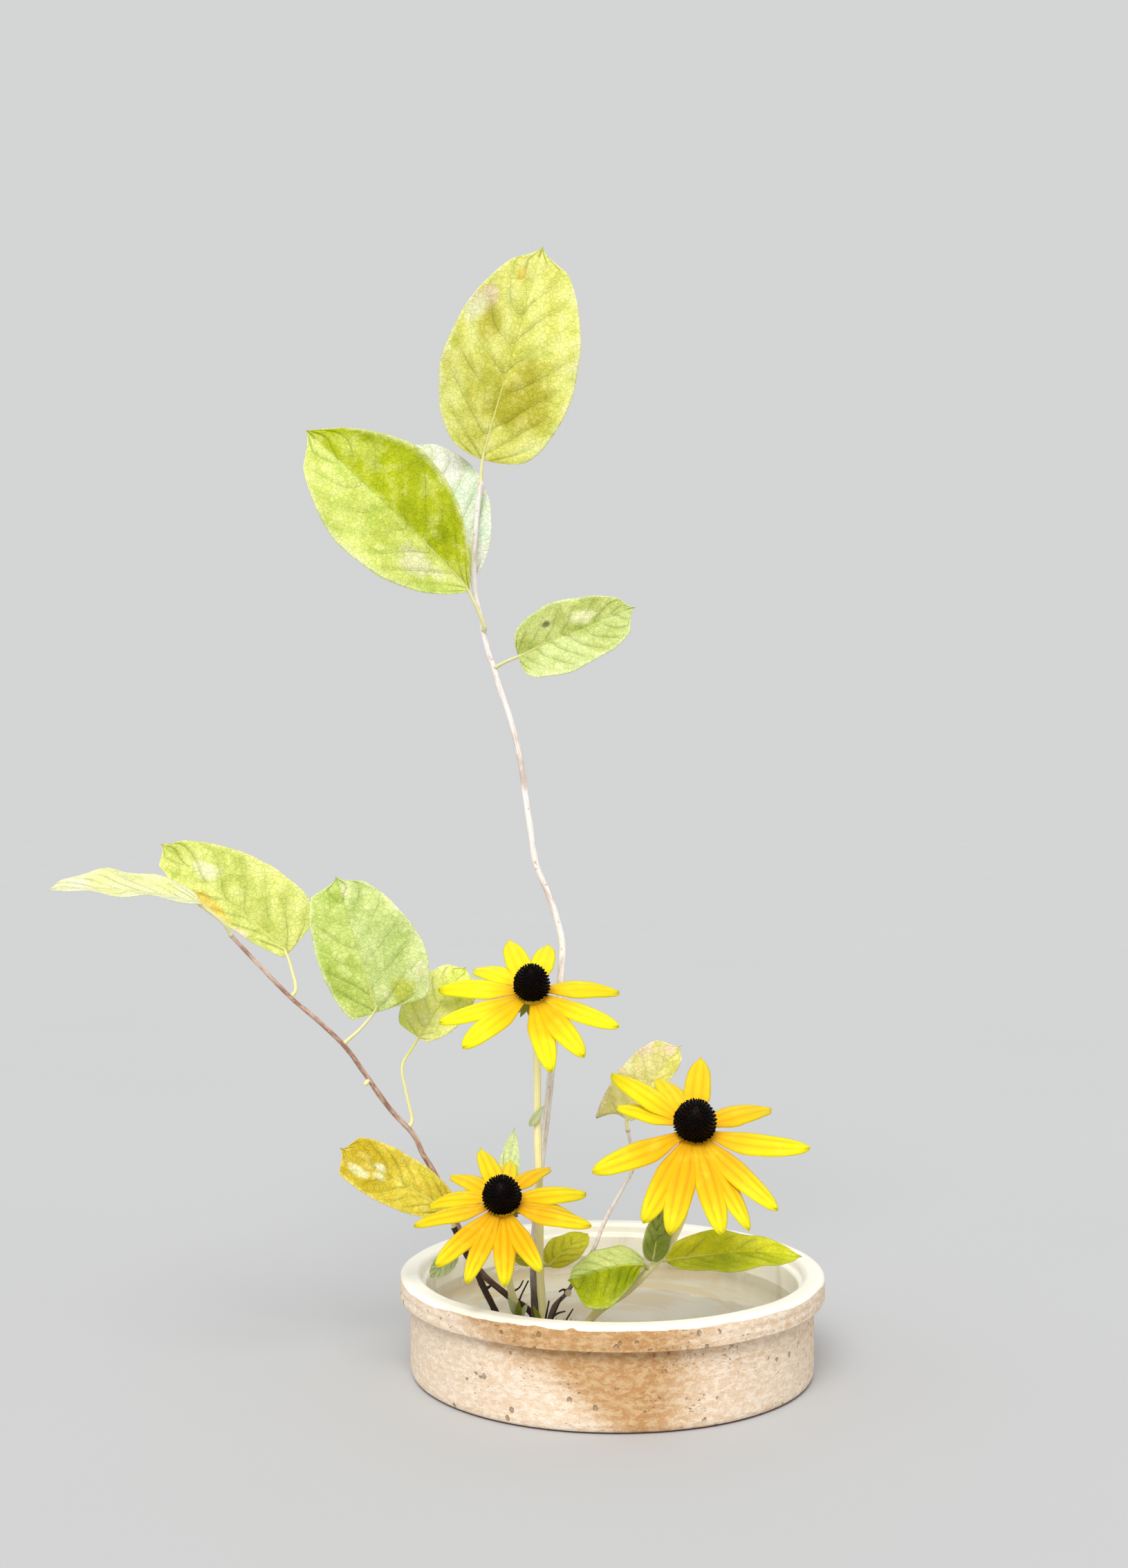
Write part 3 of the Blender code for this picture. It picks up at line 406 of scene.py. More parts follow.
class Recipe:
    """A material being put together: it adds nodes and links them."""

    def __init__(self, name):
        self.material = bpy.data.materials.new(name)
        self.material.use_nodes = True
        self.tree = self.material.node_tree
        self.shader = self.tree.nodes["Principled BSDF"]
        self.output = self.tree.nodes["Material Output"]

    def feed(self, socket, value):
        """Gives a socket another node's outlet, a number or a colour."""
        if isinstance(value, Wire):
            self.tree.links.new(value.socket, socket)
        elif socket.type == "RGBA" and len(value) == 3:
            socket.default_value = (*value, 1)
        else:
            socket.default_value = value

    def node(self, kind, outlet, sockets, **settings):
        """Adds a node with these sockets and settings, and gives one of its outlets."""
        made = self.tree.nodes.new("ShaderNode" + kind)
        for key, value in settings.items():
            setattr(made, key, value)
        for socket, value in sockets.items():
            self.feed(made.inputs[socket], value)
        return Wire(self, made.outputs[outlet])

    def place(self, stretch=(1, 1, 1), source="Object"):
        """Object coordinates in metres, stretched along each axis."""
        spot = self.node("TexCoord", source, {})
        return self.node("Mapping", 0, {"Vector": spot, "Scale": stretch})

    def surface(self, stretch=(1, 1, 1)):
        """The piece's own UV map, which runs along it and across it, stretched each way."""
        return self.place(stretch, "UV")

    def axis(self, index, vector):
        """One part of a vector: 0, 1 or 2 for x, y or z."""
        return self.node("SeparateXYZ", index, {0: vector})

    def attribute(self, name, outlet="Fac"):
        """What the mesh stores under a name."""
        return self.node("Attribute", outlet, {}, attribute_name=name)

    def noise(self, vector, scale, detail=4.0, roughness=0.55, distortion=0.0):
        return self.node("TexNoise", 0, {
            "Vector": vector, "Scale": scale, "Detail": detail, "Roughness": roughness,
            "Distortion": distortion})

    def cells(self, vector, scale, feature="F1"):
        """Distance to the nearest cell's middle, or to its edge."""
        return self.node("TexVoronoi", "Distance", {"Vector": vector, "Scale": scale},
                         feature=feature)

    def maths(self, operation, first, second=0.0):
        """One sum of two numbers, by its node's own name."""
        return self.node("Math", 0, {0: first, 1: second}, operation=operation)

    def mix(self, share, first, second, mode="MIX"):
        """A share of the second colour over the first, or of the first multiplied by it."""
        return self.node("Mix", 2, {0: share, 6: first, 7: second}, data_type="RGBA",
                         blend_type=mode, clamp_result=True)

    def bump(self, height, distance):
        """A normal for a relief whose full height stands this many metres proud."""
        return self.node("Bump", 0, {"Height": height, "Distance": distance, "Strength": 1.0})

    def set(self, **sockets):
        """Sets the main shader's sockets, named with _ for each space."""
        for name, value in sockets.items():
            self.feed(self.shader.inputs[name.replace("_", " ")], value)
        return self.material

    def let_light_through(self, colour, share):
        """Mixes in light that passes through a thin blade."""
        through = self.node("BsdfTranslucent", 0, {"Color": colour})
        surface = Wire(self, self.shader.outputs[0])
        mixed = self.node("MixShader", 0, {0: share, 1: surface, 2: through})
        self.feed(self.output.inputs["Surface"], mixed)
        return self.material


def leaf_skin(name, underside, mottle):
    """Leaf: blotched light and deep, faint side veins with painted shade and light on the quilting,
    a pale midrib and a fine net.
    """
    look = bpy.context.scene.ikebana_leaf
    recipe = Recipe(name)
    place = recipe.place()
    tint = recipe.attribute("tint", "Color")
    uv = recipe.surface()
    along = recipe.axis(0, uv)
    from_edge = recipe.maths("PINGPONG", recipe.axis(1, uv), 0.5)
    blotch = recipe.noise(place, 120, 6, 0.62, 0.35)
    light, deep = blotch.band(0.5, 0.6), blotch.band(0.48, 0.36)
    fleck = recipe.noise(place, 400, 4, 0.6, 0.3).band(0.54, 0.66)
    from_vein = recipe.maths("PINGPONG", recipe.attribute("veins"), 0.5)
    broken = recipe.noise(place, 60, 2).band(0.3, 0.62)
    fade = broken * from_edge.band(0.03, 0.18)
    vein = from_vein.band(0.04, 0.008) * fade
    # Painted shade in the hollows beside the side veins; painted highlight on the swells between
    # them
    shaded_hollow = from_vein.band(0.24, 0.02) * fade
    painted_swell_highlight = from_vein.band(0.2, 0.42)
    midrib = recipe.attribute("rib").band(0.75, 0.3)
    shift = recipe.node("TexNoise", 1, {"Vector": place, "Scale": 300})
    shift = recipe.node("VectorMath", 0, {0: shift, 1: (0.004, 0.004, 0.004)}, operation="MULTIPLY")
    warped = recipe.node("VectorMath", 0, {0: place, 1: shift}, operation="ADD")
    net = recipe.cells(warped, 420, "DISTANCE_TO_EDGE").band(0.08, 0.0)

    def shade(amount, mask, colour, by):
        return recipe.mix(mask * amount, colour, by, "MULTIPLY")

    colour = shade(0.5 * mottle, deep, tint, (0.72, 0.8, 0.45))
    colour = recipe.mix(light * (0.42 * mottle), colour,
                        recipe.mix(0.45, recipe.mix(1, colour, (1.4, 1.35, 1.5), "MULTIPLY"),
                                   screen(252, 252, 190)))
    colour = shade(0.6 * mottle, fleck, colour, (1.3, 1.26, 1.6))
    # Painted highlight on the swells, then painted shade in the hollows
    colour = shade(0.35, painted_swell_highlight, colour, (1.14, 1.12, 1.2))
    colour = shade(0.17, shaded_hollow, colour, (0.62, 0.7, 0.4))
    colour = shade(0.3, vein, colour, (0.55, 0.6, 0.3))
    colour = shade(0.2, net, colour, (0.6, 0.68, 0.35))
    colour = shade(0.35, midrib, colour, (0.6, 0.64, 0.35))
    colour = recipe.mix(midrib * along.band(0.5, 0.28) * 0.55, colour, screen(238, 236, 130))
    if underside:
        colour = recipe.mix(0.3, colour, screen(226, 234, 196))
    height = blotch * (1.4 * mottle) + fleck * 0.12 - shaded_hollow * 0.5 - vein * 0.35 - net * 0.2
    recipe.set(Base_Color=colour, Specular_IOR_Level=0.22,
               Roughness=0.75 if underside else look.roughness,
               Normal=recipe.bump(height, -0.0006 if underside else 0.0006))
    return recipe.let_light_through(recipe.mix(0.35, colour, (0.9, 0.96, 0.2)), 0.3)


def stalk_skin(name, low, high, far=None):
    """Smooth green or cream skin of a stalk, streaked along it. far is its midrib's colour."""
    recipe = Recipe(name)
    streak = recipe.noise(recipe.surface((3, 9, 1)), 4, 5)
    grain = recipe.noise(recipe.place(), 900, 3)
    colour = recipe.mix(streak.band(0.3, 0.7), low, high)
    if far:
        along = recipe.axis(0, recipe.surface())
        colour = recipe.mix(along.band(0.35, 0.7), colour, far)
    colour = recipe.mix(grain.band(0.55, 0.75) * 0.25, colour, (1, 0.98, 0.85))
    recipe.set(Base_Color=colour, Roughness=0.5, Specular_IOR_Level=0.35,
               Normal=recipe.bump(streak, 0.0002))
    return recipe.let_light_through(colour, 0.15)


def bark(name, dark, pale, pale_share):
    """Thin bark: long pale streaks over a darker ground, small pores, and darker towards the
    bottom.
    """
    recipe = Recipe(name)
    place = recipe.place()
    streak = recipe.noise(recipe.surface((14, 3, 1)), 3, 6, 0.65, 0.6)
    patch = recipe.noise(place, 60, 4, 0.6)
    grain = recipe.noise(place, 1400, 3)
    pore = recipe.cells(place, 380).band(0.26, 0.16) * recipe.noise(place, 300, 1).band(0.52, 0.6)
    bare = 0.75 - 0.4 * pale_share
    colour = recipe.mix((streak * 0.6 + patch * 0.5).band(bare, bare + 0.2), dark, pale)
    colour = recipe.mix(grain * 0.35, colour, tuple(0.55 * part for part in dark))
    colour = recipe.mix(pore * 0.7, colour, screen(214, 190, 160))
    # Darker from 78 mm down, fully so from 48 mm down
    darker_low_down = (recipe.axis(2, place) + patch * 0.02).band(0.078, 0.048) * 0.88
    colour = recipe.mix(darker_low_down, colour, screen(54, 36, 30))
    return recipe.set(Base_Color=colour, Roughness=0.62, Specular_IOR_Level=0.35,
                      Normal=recipe.bump(streak + pore * 0.8 + grain * 0.3, 0.0003))


def petal_skin():
    """Petal: a tint from root to tip, fine lines along it and a soft velvet bloom."""
    recipe = Recipe("petal_yellow_velvet")
    tint = recipe.attribute("tint", "Color")
    lines = recipe.noise(recipe.surface((1.2, 16, 1)), 2.2, 4, 0.6)
    blotch = recipe.noise(recipe.place(), 160, 4)
    colour = recipe.mix(lines.band(0.62, 0.4) * 0.3, tint, screen(255, 226, 60), "MULTIPLY")
    colour = recipe.mix(blotch.band(0.5, 0.75) * 0.25, colour, screen(255, 252, 80))
    recipe.set(Base_Color=colour, Roughness=0.5, Specular_IOR_Level=0.2, Sheen_Weight=0.06,
               Sheen_Roughness=0.5, Normal=recipe.bump(lines, 0.00025))
    return recipe.let_light_through(colour, 0.22)


def floret_skin():
    """Florets: near black brown with a wine cast and paler, drier tips."""
    look = bpy.context.scene.ikebana_flower
    recipe = Recipe("disc_brown_florets")
    place = recipe.place()
    patch = recipe.noise(place, 500, 4)
    grain = recipe.noise(place, 2600, 2)
    colour = recipe.mix(patch.band(0.45, 0.75), look.disc, screen(30, 13, 11))
    colour = recipe.mix(grain.band(0.6, 0.8) * 0.3, colour, screen(60, 30, 24))
    return recipe.set(Base_Color=colour, Roughness=0.42, Specular_IOR_Level=0.06,
                      Normal=recipe.bump(grain, 0.0001))


def stoneware():
    """Bowl: sandy clay with a pale crust, toasted patches, pits, painted shade under the collar and
    at the foot; cream glaze inside.
    """
    look = bpy.context.scene.ikebana_bowl
    recipe = Recipe("stoneware_and_cream_glaze")
    place = recipe.place()
    x, y, level = (recipe.axis(index, place) for index in range(3))
    flat = recipe.place((1, 1, 1.8))
    drift = recipe.noise(place, 14, 4, 0.55, 0.4)
    rows = recipe.noise(recipe.place((0.6, 0.6, 9)), 24, 4, 0.6)
    curds = recipe.noise(flat, 260, 6, 0.62, 0.3)
    fine = recipe.noise(place, 1100, 4, 0.6)
    warm = drift * 0.55 + rows * 0.45
    clay = recipe.mix(warm.band(0.45, 0.66) * 0.6, look.clay, look.warm_clay)
    # Painted warm shadow of the collar on the front of the bowl, narrowing down towards the foot
    aside = recipe.maths("ABSOLUTE", x - (0.011 - level * 0.6))
    reach = level * 0.78 + 0.012 + (drift - 0.5) * 0.03
    painted_collar_shadow = (aside - reach).band(0.012, -0.017) * y.band(-0.02, -0.06)
    clay = recipe.mix(painted_collar_shadow, clay, (0.88, 0.77, 0.63), "MULTIPLY")
    clay = recipe.mix(curds.band(0.43, 0.6) * 0.72, clay, look.pale_clay)
    clay = recipe.mix(fine.band(0.5, 0.7) * 0.3, clay, screen(200, 174, 140))
    clay = recipe.mix(fine.band(0.5, 0.34) * 0.3, clay, screen(244, 231, 211))
    chosen = recipe.noise(place, 60, 3, 0.6).band(0.5, 0.62)
    pit = recipe.noise(flat, 620, 2, 0.5).band(0.65, 0.7) * chosen
    chosen = recipe.noise(place, 80, 3, 0.7).band(0.52, 0.58)
    large_pit = recipe.cells(recipe.place((1, 1, 0.8)), 210).band(0.26, 0.18) * chosen
    pit = recipe.maths("MAXIMUM", pit, large_pit)
    # The painted collar shadow once more, deeper, over the pale crust
    clay = recipe.mix(painted_collar_shadow, clay, (0.74, 0.585, 0.38), "MULTIPLY")
    clay = recipe.mix(pit * 0.75, clay, screen(138, 112, 84))
    # Painted shadow: the foot ring turns dark brown where the bowl stands on the floor
    clay = recipe.mix(recipe.attribute("foot"), clay, screen(120, 62, 44))
    edge = recipe.attribute("glaze") + (recipe.noise(place, 130, 5, 0.6) - 0.5) * 0.6
    glazed = edge.band(0.46, 0.55)
    cloud = recipe.noise(place, 34, 4, 0.6)
    glaze = recipe.mix(cloud.band(0.42, 0.7), look.glaze, screen(251, 247, 229))
    from_middle = recipe.node("VectorMath", 1, {0: recipe.place((1, 1, 0))}, operation="LENGTH")
    wander = recipe.node("CombineXYZ", 0, {0: from_middle * 36, 1: x * 14, 2: y * 14})
    rings = recipe.noise(wander, 1.6, 4, 0.55)
    low = level.band(0.022, 0.012)
    glaze = recipe.mix(rings.band(0.46, 0.62) * low * 0.6, glaze, screen(236, 206, 144))
    glaze = recipe.mix(low * 0.2, glaze, screen(246, 222, 160))
    drip = recipe.noise(recipe.place((1, 1, 0.12)), 90, 4, 0.6).band(0.5, 0.64)
    drip = drip * recipe.attribute("inner_wall")
    glaze = recipe.mix(drip * 0.42, glaze, screen(202, 192, 166))
    glaze = recipe.mix(edge.band(0.72, 0.5) * 0.6, glaze, screen(246, 222, 180))
    height = (curds * 0.8 + fine * 0.5 - pit * 0.9) * ((1.0 - glazed) * 0.93 + 0.07)
    return recipe.set(Base_Color=recipe.mix(glazed, clay, glaze), Roughness=0.82 - glazed * 0.6,
                      Normal=recipe.bump(height, 0.0005))


def clear_water():
    """Still water with the faintest ripples."""
    look = bpy.context.scene.ikebana_water
    recipe = Recipe("clear_still_water")
    ripple = recipe.noise(recipe.place(), 26, 2, 0.4)
    return recipe.set(Base_Color=look.tint, Roughness=0.0, IOR=1.333, Transmission_Weight=1.0,
                      Normal=recipe.bump(ripple, 0.0006))


def dull_metal(name, dark, pale, metallic, roughness):
    """Cast or drawn metal, clouded where water has dulled it."""
    recipe = Recipe(name)
    place = recipe.place()
    cloud = recipe.noise(place, 220, 5, 0.65)
    pits = recipe.noise(place, 1500, 3)
    colour = recipe.mix(cloud.band(0.35, 0.7), dark, pale)
    return recipe.set(Base_Color=colour, Metallic=metallic, Normal=recipe.bump(pits, 0.0001),
                      Roughness=cloud * 0.3 + (roughness - 0.15))


def mm(point):
    """A point in millimetres as a vector in metres."""
    return Vector(point) * MM


def at(place):
    """Moves a piece to a place in millimetres."""
    return Matrix.Translation(mm(place))


def aim(direction):
    """Turns a piece that stands along +Z to a direction."""
    return direction.to_track_quat("Z", "Y").to_matrix().to_4x4()


def select_only(*pieces):
    """Selects these pieces alone, and makes the first active."""
    bpy.ops.object.select_all(action="DESELECT")
    for piece in pieces:
        piece.select_set(True)
    bpy.context.view_layer.objects.active = pieces[0]


def named(name):
    """The piece just added, under its own name."""
    piece = bpy.context.object
    piece.name = piece.data.name = name
    return piece


def paint(piece, *materials):
    """Gives a piece these materials in place of its own."""
    piece.data.materials.clear()
    for material in materials:
        piece.data.materials.append(material)


def smooth(piece):
    """Shades a piece smooth all over."""
    select_only(piece)
    bpy.ops.object.shade_smooth()


def finish_with(piece, kind, **settings):
    """Adds a modifier with these settings and applies it."""
    select_only(piece)
    modifier = piece.modifiers.new(kind.lower(), kind)
    for key, value in settings.items():
        setattr(modifier, key, value)
    bpy.ops.object.modifier_apply(modifier=modifier.name)


def bevel_edges(piece, width, segments):
    """Rounds a piece's sharp edges by a width in mm, and keeps its flat faces flat."""
    finish_with(piece, "BEVEL", width=width * MM, segments=segments, limit_method="ANGLE")
    bpy.ops.object.shade_smooth_by_angle(angle=math.radians(40))


def shaped_grid(name, rows, columns, place, cosine=False):
    """A grid primitive moved to place(t, v), and each corner's t and v.

    t runs from 0 to 1 along the rows and v from -1 to 1 across them. The UV map holds the
    same two, each from 0 to 1. cosine draws the rows together towards both ends.
    """
    bpy.ops.object.select_all(action="DESELECT")
    bpy.ops.mesh.primitive_grid_add(x_subdivisions=rows, y_subdivisions=columns, size=2)
    piece = named(name)
    spots = []
    for vertex in piece.data.vertices:
        t = (vertex.co.x + 1) / 2
        spots.append((0.5 - 0.5 * math.cos(math.pi * t) if cosine else t, vertex.co.y))
    for vertex, spot in zip(piece.data.vertices, spots):
        vertex.co = place(*spot)
    for loop, corner in zip(piece.data.loops, piece.data.uv_layers.active.data):
        t, v = spots[loop.vertex_index]
        corner.uv = (t, (v + 1) / 2)
    return piece, spots


def store(piece, name, values):
    """Keeps a number or a colour at every corner of a piece, for its material to read."""
    colour = not isinstance(values[0], (int, float))
    layer = piece.data.attributes.new(name, "FLOAT_COLOR" if colour else "FLOAT", "POINT")
    for point, value in zip(layer.data, values):
        if colour:
            point.color = (*value, 1)
        else:
            point.value = value


def weld(piece, turn_out=False):
    """Merges corners that lie on each other, and may turn the faces outwards."""
    select_only(piece)
    bpy.ops.object.mode_set(mode="EDIT")
    bpy.ops.mesh.select_all(action="SELECT")
    bpy.ops.mesh.remove_doubles(threshold=0.000002)
    if turn_out:
        bpy.ops.mesh.normals_make_consistent(inside=False)
    bpy.ops.object.mode_set(mode="OBJECT")


def seal(piece):
    """Closes the seam and poles of a wrapped grid, and shades it smooth."""
    weld(piece, turn_out=True)
    smooth(piece)


def thicken(piece, thickness, **settings):
    """Gives a thin sheet its thickness, half to each side, and shades it smooth."""
    weld(piece)
    finish_with(piece, "SOLIDIFY", thickness=thickness, offset=0, **settings)
    smooth(piece)


def join(name, pieces):
    """Joins pieces into the first one, which keeps its materials and gains theirs."""
    select_only(*pieces)
    if len(pieces) > 1:
        bpy.ops.object.join()
    return named(name)


def copies(piece, places):
    """Copies of a piece, each with its own mesh, at each of these matrices. The piece goes."""
    made = []
    for matrix in places:
        copy = piece.copy()
        copy.data = piece.data.copy()
        copy.data.transform(matrix)
        bpy.context.collection.objects.link(copy)
        made.append(copy)
    bpy.data.objects.remove(piece)
    return made


def hand_over(piece, slot, *nodes):
    """Lets a finished piece ride with the part and stand for its plain solids."""
    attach(piece, "root")
    if nodes:
        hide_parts(*nodes)


def smooth_route(points, spacing):
    """Points about spacing apart on the smooth curve through the given ones."""
    ends = [points[0] * 2 - points[1]] + list(points) + [points[-1] * 2 - points[-2]]
    route = []
    for before, start, end, after in zip(ends, ends[1:], ends[2:], ends[3:]):
        count = max(1, round((end - start).length / spacing))
        for step in range(count):
            t = step / count
            route.append(0.5 * (
                2 * start
                + (end - before) * t
                + (2 * before - 5 * start + 4 * end - after) * t ** 2
                + (3 * start - before - 3 * end + after) * t ** 3))
    route.append(points[-1].copy())
    return route


def ring_frames(route):
    """Along, across and third direction at each point of a route, turning as little as they can."""
    frames, across = [], Vector((1, 0.1, 0))
    for index in range(len(route)):
        along = (route[min(index + 1, len(route) - 1)] - route[max(index - 1, 0)]).normalized()
        across = (across - along * across.dot(along)).normalized()
        frames.append((along, across, along.cross(across)))
    return frames


def tube(name, route, radii, sides, relief=None):
    """A closed tube along a route. relief(index, turn) swells or narrows it, as a share."""
    frames = ring_frames(route)
    last = len(route) - 1

    def place(t, v):
        index = round(t * (last + 2)) - 1
        ring = min(max(index, 0), last)
        if index != ring:
            return route[ring]
        _, across, third = frames[ring]
        turn = math.pi * v
        reach = radii[ring] * (1 + (relief(ring, turn) if relief else 0))
        return route[ring] + (across * math.cos(turn) + third * math.sin(turn)) * reach

    piece, _ = shaped_grid(name, last + 2, sides, place)
    seal(piece)
    return piece


def wheel(name, profile, sides, place=None):
    """A solid of revolution about Z from a profile (R, Z) in mm, still to be sealed.

    With it comes the R, Z and turn of each corner. place(R, Z, turn) may shift a corner.
    """
    last = len(profile) - 1

    def turned(t, v):
        radius, height = profile[round(t * last)]
        turn = math.pi * v
        if place:
            radius, height = place(radius, height, turn)
        return mm((radius * math.cos(turn), radius * math.sin(turn), height))

    piece, spots = shaped_grid(name, last, sides, turned)
    rings = [(*profile[round(t * last)], math.pi * v) for t, v in spots]
    return piece, rings


def arc(centre, radius, start, end, count):
    """Points (R, Z) on an arc between two angles in degrees."""
    angles = [math.radians(start + (end - start) * index / count) for index in range(count + 1)]
    return [(centre[0] + radius * math.cos(a), centre[1] + radius * math.sin(a)) for a in angles]


def run(start, end, count):
    """Points (R, Z) that divide a straight stretch of profile, without its end."""
    return [between(start, end, index / count) for index in range(count)]


def ease(value):
    """Smooth step of a share that is first kept between 0 and 1."""
    value = min(1.0, max(0.0, value))
    return value * value * (3 - 2 * value)


def between(first, second, share):
    """A point or colour on the way from one to another."""
    return tuple(a + (b - a) * share for a, b in zip(first, second))


def stem_route(name, spacing):
    """A stem's smooth route, with the head's axis at its end where it carries a flower.

    A leaning foot is raised so that its cut end clears the holder.
    """
    points = [mm(point) for point in STEMS[name].points]
    direction = (points[1] - points[0]).normalized()
    points[0].z += STEMS[name].foot_radius * math.sqrt(1 - direction.z ** 2) * MM
    for flower in FLOWERS:
        if flower.name == name:
            axis = head_axes(flower)[0]
            points += [mm(flower.centre) + axis * height * MM
                       for height in (CUP_BOTTOM - 1, CUP_TOP - 1)]
    return smooth_route(points, spacing * MM)


def evenly(first, last, count):
    """Radii in metres that run evenly from one to another, which are in mm."""
    return [(first + (last - first) * index / (count - 1)) * MM for index in range(count)]


def taper(name, count):
    """Radii from a stem's foot to its tip, with a slight swelling at each of its nodes."""
    radii = evenly(STEMS[name].foot_radius, STEMS[name].tip_radius, count)
    turns = [10 * math.pi * index / (count - 1) for index in range(count)]
    return [radius * (1 + 0.1 * max(0.0, math.cos(turn)) ** 8)
            for radius, turn in zip(radii, turns)]


def outline(t, base_power, tip_power):
    """Width of a leaf from base (0) to tip (1), with 1 as its widest."""
    t = min(1.0, max(0.0, t))
    widest = base_power / (base_power + tip_power)
    peak = widest ** base_power * (1 - widest) ** tip_power
    pointed = tip_power + max(0.0, 1 - tip_power) * ease((t - 0.9) / 0.1)
    return t ** base_power * (1 - t) ** pointed / peak


def leaf_axes(leaf):
    """Length of the blade, and its directions along the midrib, to the left and upwards."""
    base, tip = mm(leaf.base), mm(leaf.tip)
    along = (tip - base).normalized()
    facing = Vector(leaf.facing)
    up = (facing - along * facing.dot(along)).normalized()
    return (tip - base).length, along, up.cross(along), up


def vein_count(leaf, t, v):
    """Counts the side veins from the base up: a whole number lies on each of them."""
    reach = abs(v)
    swept = t - 0.2 * reach - 0.12 * reach * reach
    drift = 0.35 * noise.noise((t * 3, v * 1.6, leaf.veins + 10 * leaf.arch)) * min(1, 4 * reach)
    return leaf.veins * 1.2 * swept + 0.2 * math.copysign(1, v) * min(1, 12 * reach) + 0.1 + drift


def leaf_point(leaf, t, v, relief=0.0):
    """A point of the blade: t runs from base to tip, v from the right edge to the left."""
    length, along, left, up = leaf_axes(leaf)
    widest, base_power, tip_power, lobe = leaf.left if v > 0 else leaf.right
    side_seed = 7 if v > 0 else 3
    reach = abs(v) * widest * outline(t, base_power, tip_power)
    if relief:
        ragged = 0.03 * noise.noise((t * 7, side_seed, length * 90))
        ragged += 0.008 * noise.noise((t * 42, side_seed, length * 90))
        reach *= 1 + ragged * abs(v)
    fold = math.radians(leaf.fold)
    ripple = leaf.wave * v * v * math.sin(2 * math.pi * (2.5 * t + 0.25 * math.copysign(1, v)))
    ripple *= math.sin(math.pi * t)
    rise = leaf.arch * 4 * t * (1 - t) + reach * math.sin(fold) + ripple
    if relief:
        quilt = abs(math.sin(math.pi * vein_count(leaf, t, v))) ** 0.7 - 0.6
        rise += relief * quilt * ease(reach / 5) * ease((1 - abs(v)) * 4)
        rib = math.exp(-(reach / 1.1) ** 2) * (1 - 0.7 * t)
        rise -= 0.35 * rib * ease(12 * t) * ease(6 - 6 * t)
        curl = 0.6 * noise.noise((t * 3.3, side_seed + 5, length * 70))
        curl += 0.25 * noise.noise((t * 9, side_seed, 2))
        rise += curl * v * v * math.sin(math.pi * t)
    side = math.copysign(reach * math.cos(fold), v)
    back = lobe * v * v * min(1, 20 * t) * (1 - t) ** 6
    return mm(leaf.base) + along * (length * t - back * MM) + (left * side + up * rise) * MM


def leaf_tint(leaf, point, t, v):
    """The blade's own colour at a point: deep and light parts, a pale margin, and marks."""
    drift = noise.noise(point * 42) + 0.6 * noise.noise(point * 120)
    share = ease(0.5 + 0.75 * drift)
    left = between(leaf.colours[0], leaf.colours[1], share)
    right = between(leaf.colours[2], leaf.colours[3], share)
    # Partly painted light and shade: each half of a folded blade takes its own colours
    colour = between(right, left, ease(0.5 + 6 * v))
    colour = tuple(min(0.96, 1.12 * part) for part in colour)
    fray = 0.05 * noise.noise(point * 300)
    colour = between(colour, leaf.margin, 0.75 * ease((abs(v) - 0.88 + fray) / 0.12))
    for mark_t, mark_v, size, mark in leaf.marks:
        distance = math.hypot(t - mark_t, 0.4 * (v - mark_v))
        distance += 0.35 * size * (noise.noise(point * 150) + 0.7 * noise.noise(point * 420))
        colour = between(colour, mark, 0.9 * ease((size - distance) / (0.6 * size)))
    return colour


def stalk_seat(route, radii, towards):
    """Where a stalk starts in the side of its stem, at the point nearest to what it leads to."""
    nearest = min(range(1, len(route) - 1), key=lambda i: (route[i] - towards).length)
    if (route[-1] - towards).length < (route[nearest] - towards).length:
        return route[-1] - (route[-1] - route[-2]).normalized() * MM
    slope = (towards - route[nearest]).normalized()
    return route[nearest] + slope * radii[nearest] * 0.5


def rib_distance(leaf, t, v):
    """How far a point lies from the midrib, more so towards the tip, where the rib is finer."""
    widest, base_power, tip_power, _ = leaf.left if v > 0 else leaf.right
    return abs(v) * widest * outline(t, base_power, tip_power) * (1 + t)


def build_blade(leaf, slot):
    """The blade: a grid bent to the leaf's outline, with its colours and veins stored in it."""
    look = bpy.context.scene.ikebana_leaf
    length = leaf_axes(leaf)[0] / MM
    rows, columns = FINE_GRID if length > LARGE_LEAF else COARSE_GRID
    relief = look.relief / MM * min(1.0, length / 70) * (0.5 if slot == "pale_leaf" else 1)

    def place(t, v):
        return leaf_point(leaf, t, v, relief)

    blade, spots = shaped_grid(leaf.name, rows, columns, place, cosine=True)
    store(blade, "tint", [leaf_tint(leaf, vertex.co, *spot)
                          for vertex, spot in zip(blade.data.vertices, spots)])
    store(blade, "veins", [vein_count(leaf, *spot) for spot in spots])
    store(blade, "rib", [rib_distance(leaf, *spot) for spot in spots])
    mottle = {"lime_leaf": 1.0, "pale_leaf": 0.8, "green_leaf": 0.3}[slot]
    paint(blade, leaf_skin(leaf.name + "_upper", False, mottle),
          leaf_skin(leaf.name + "_under", True, mottle))
    thicken(blade, look.thickness, material_offset=1)
    return blade


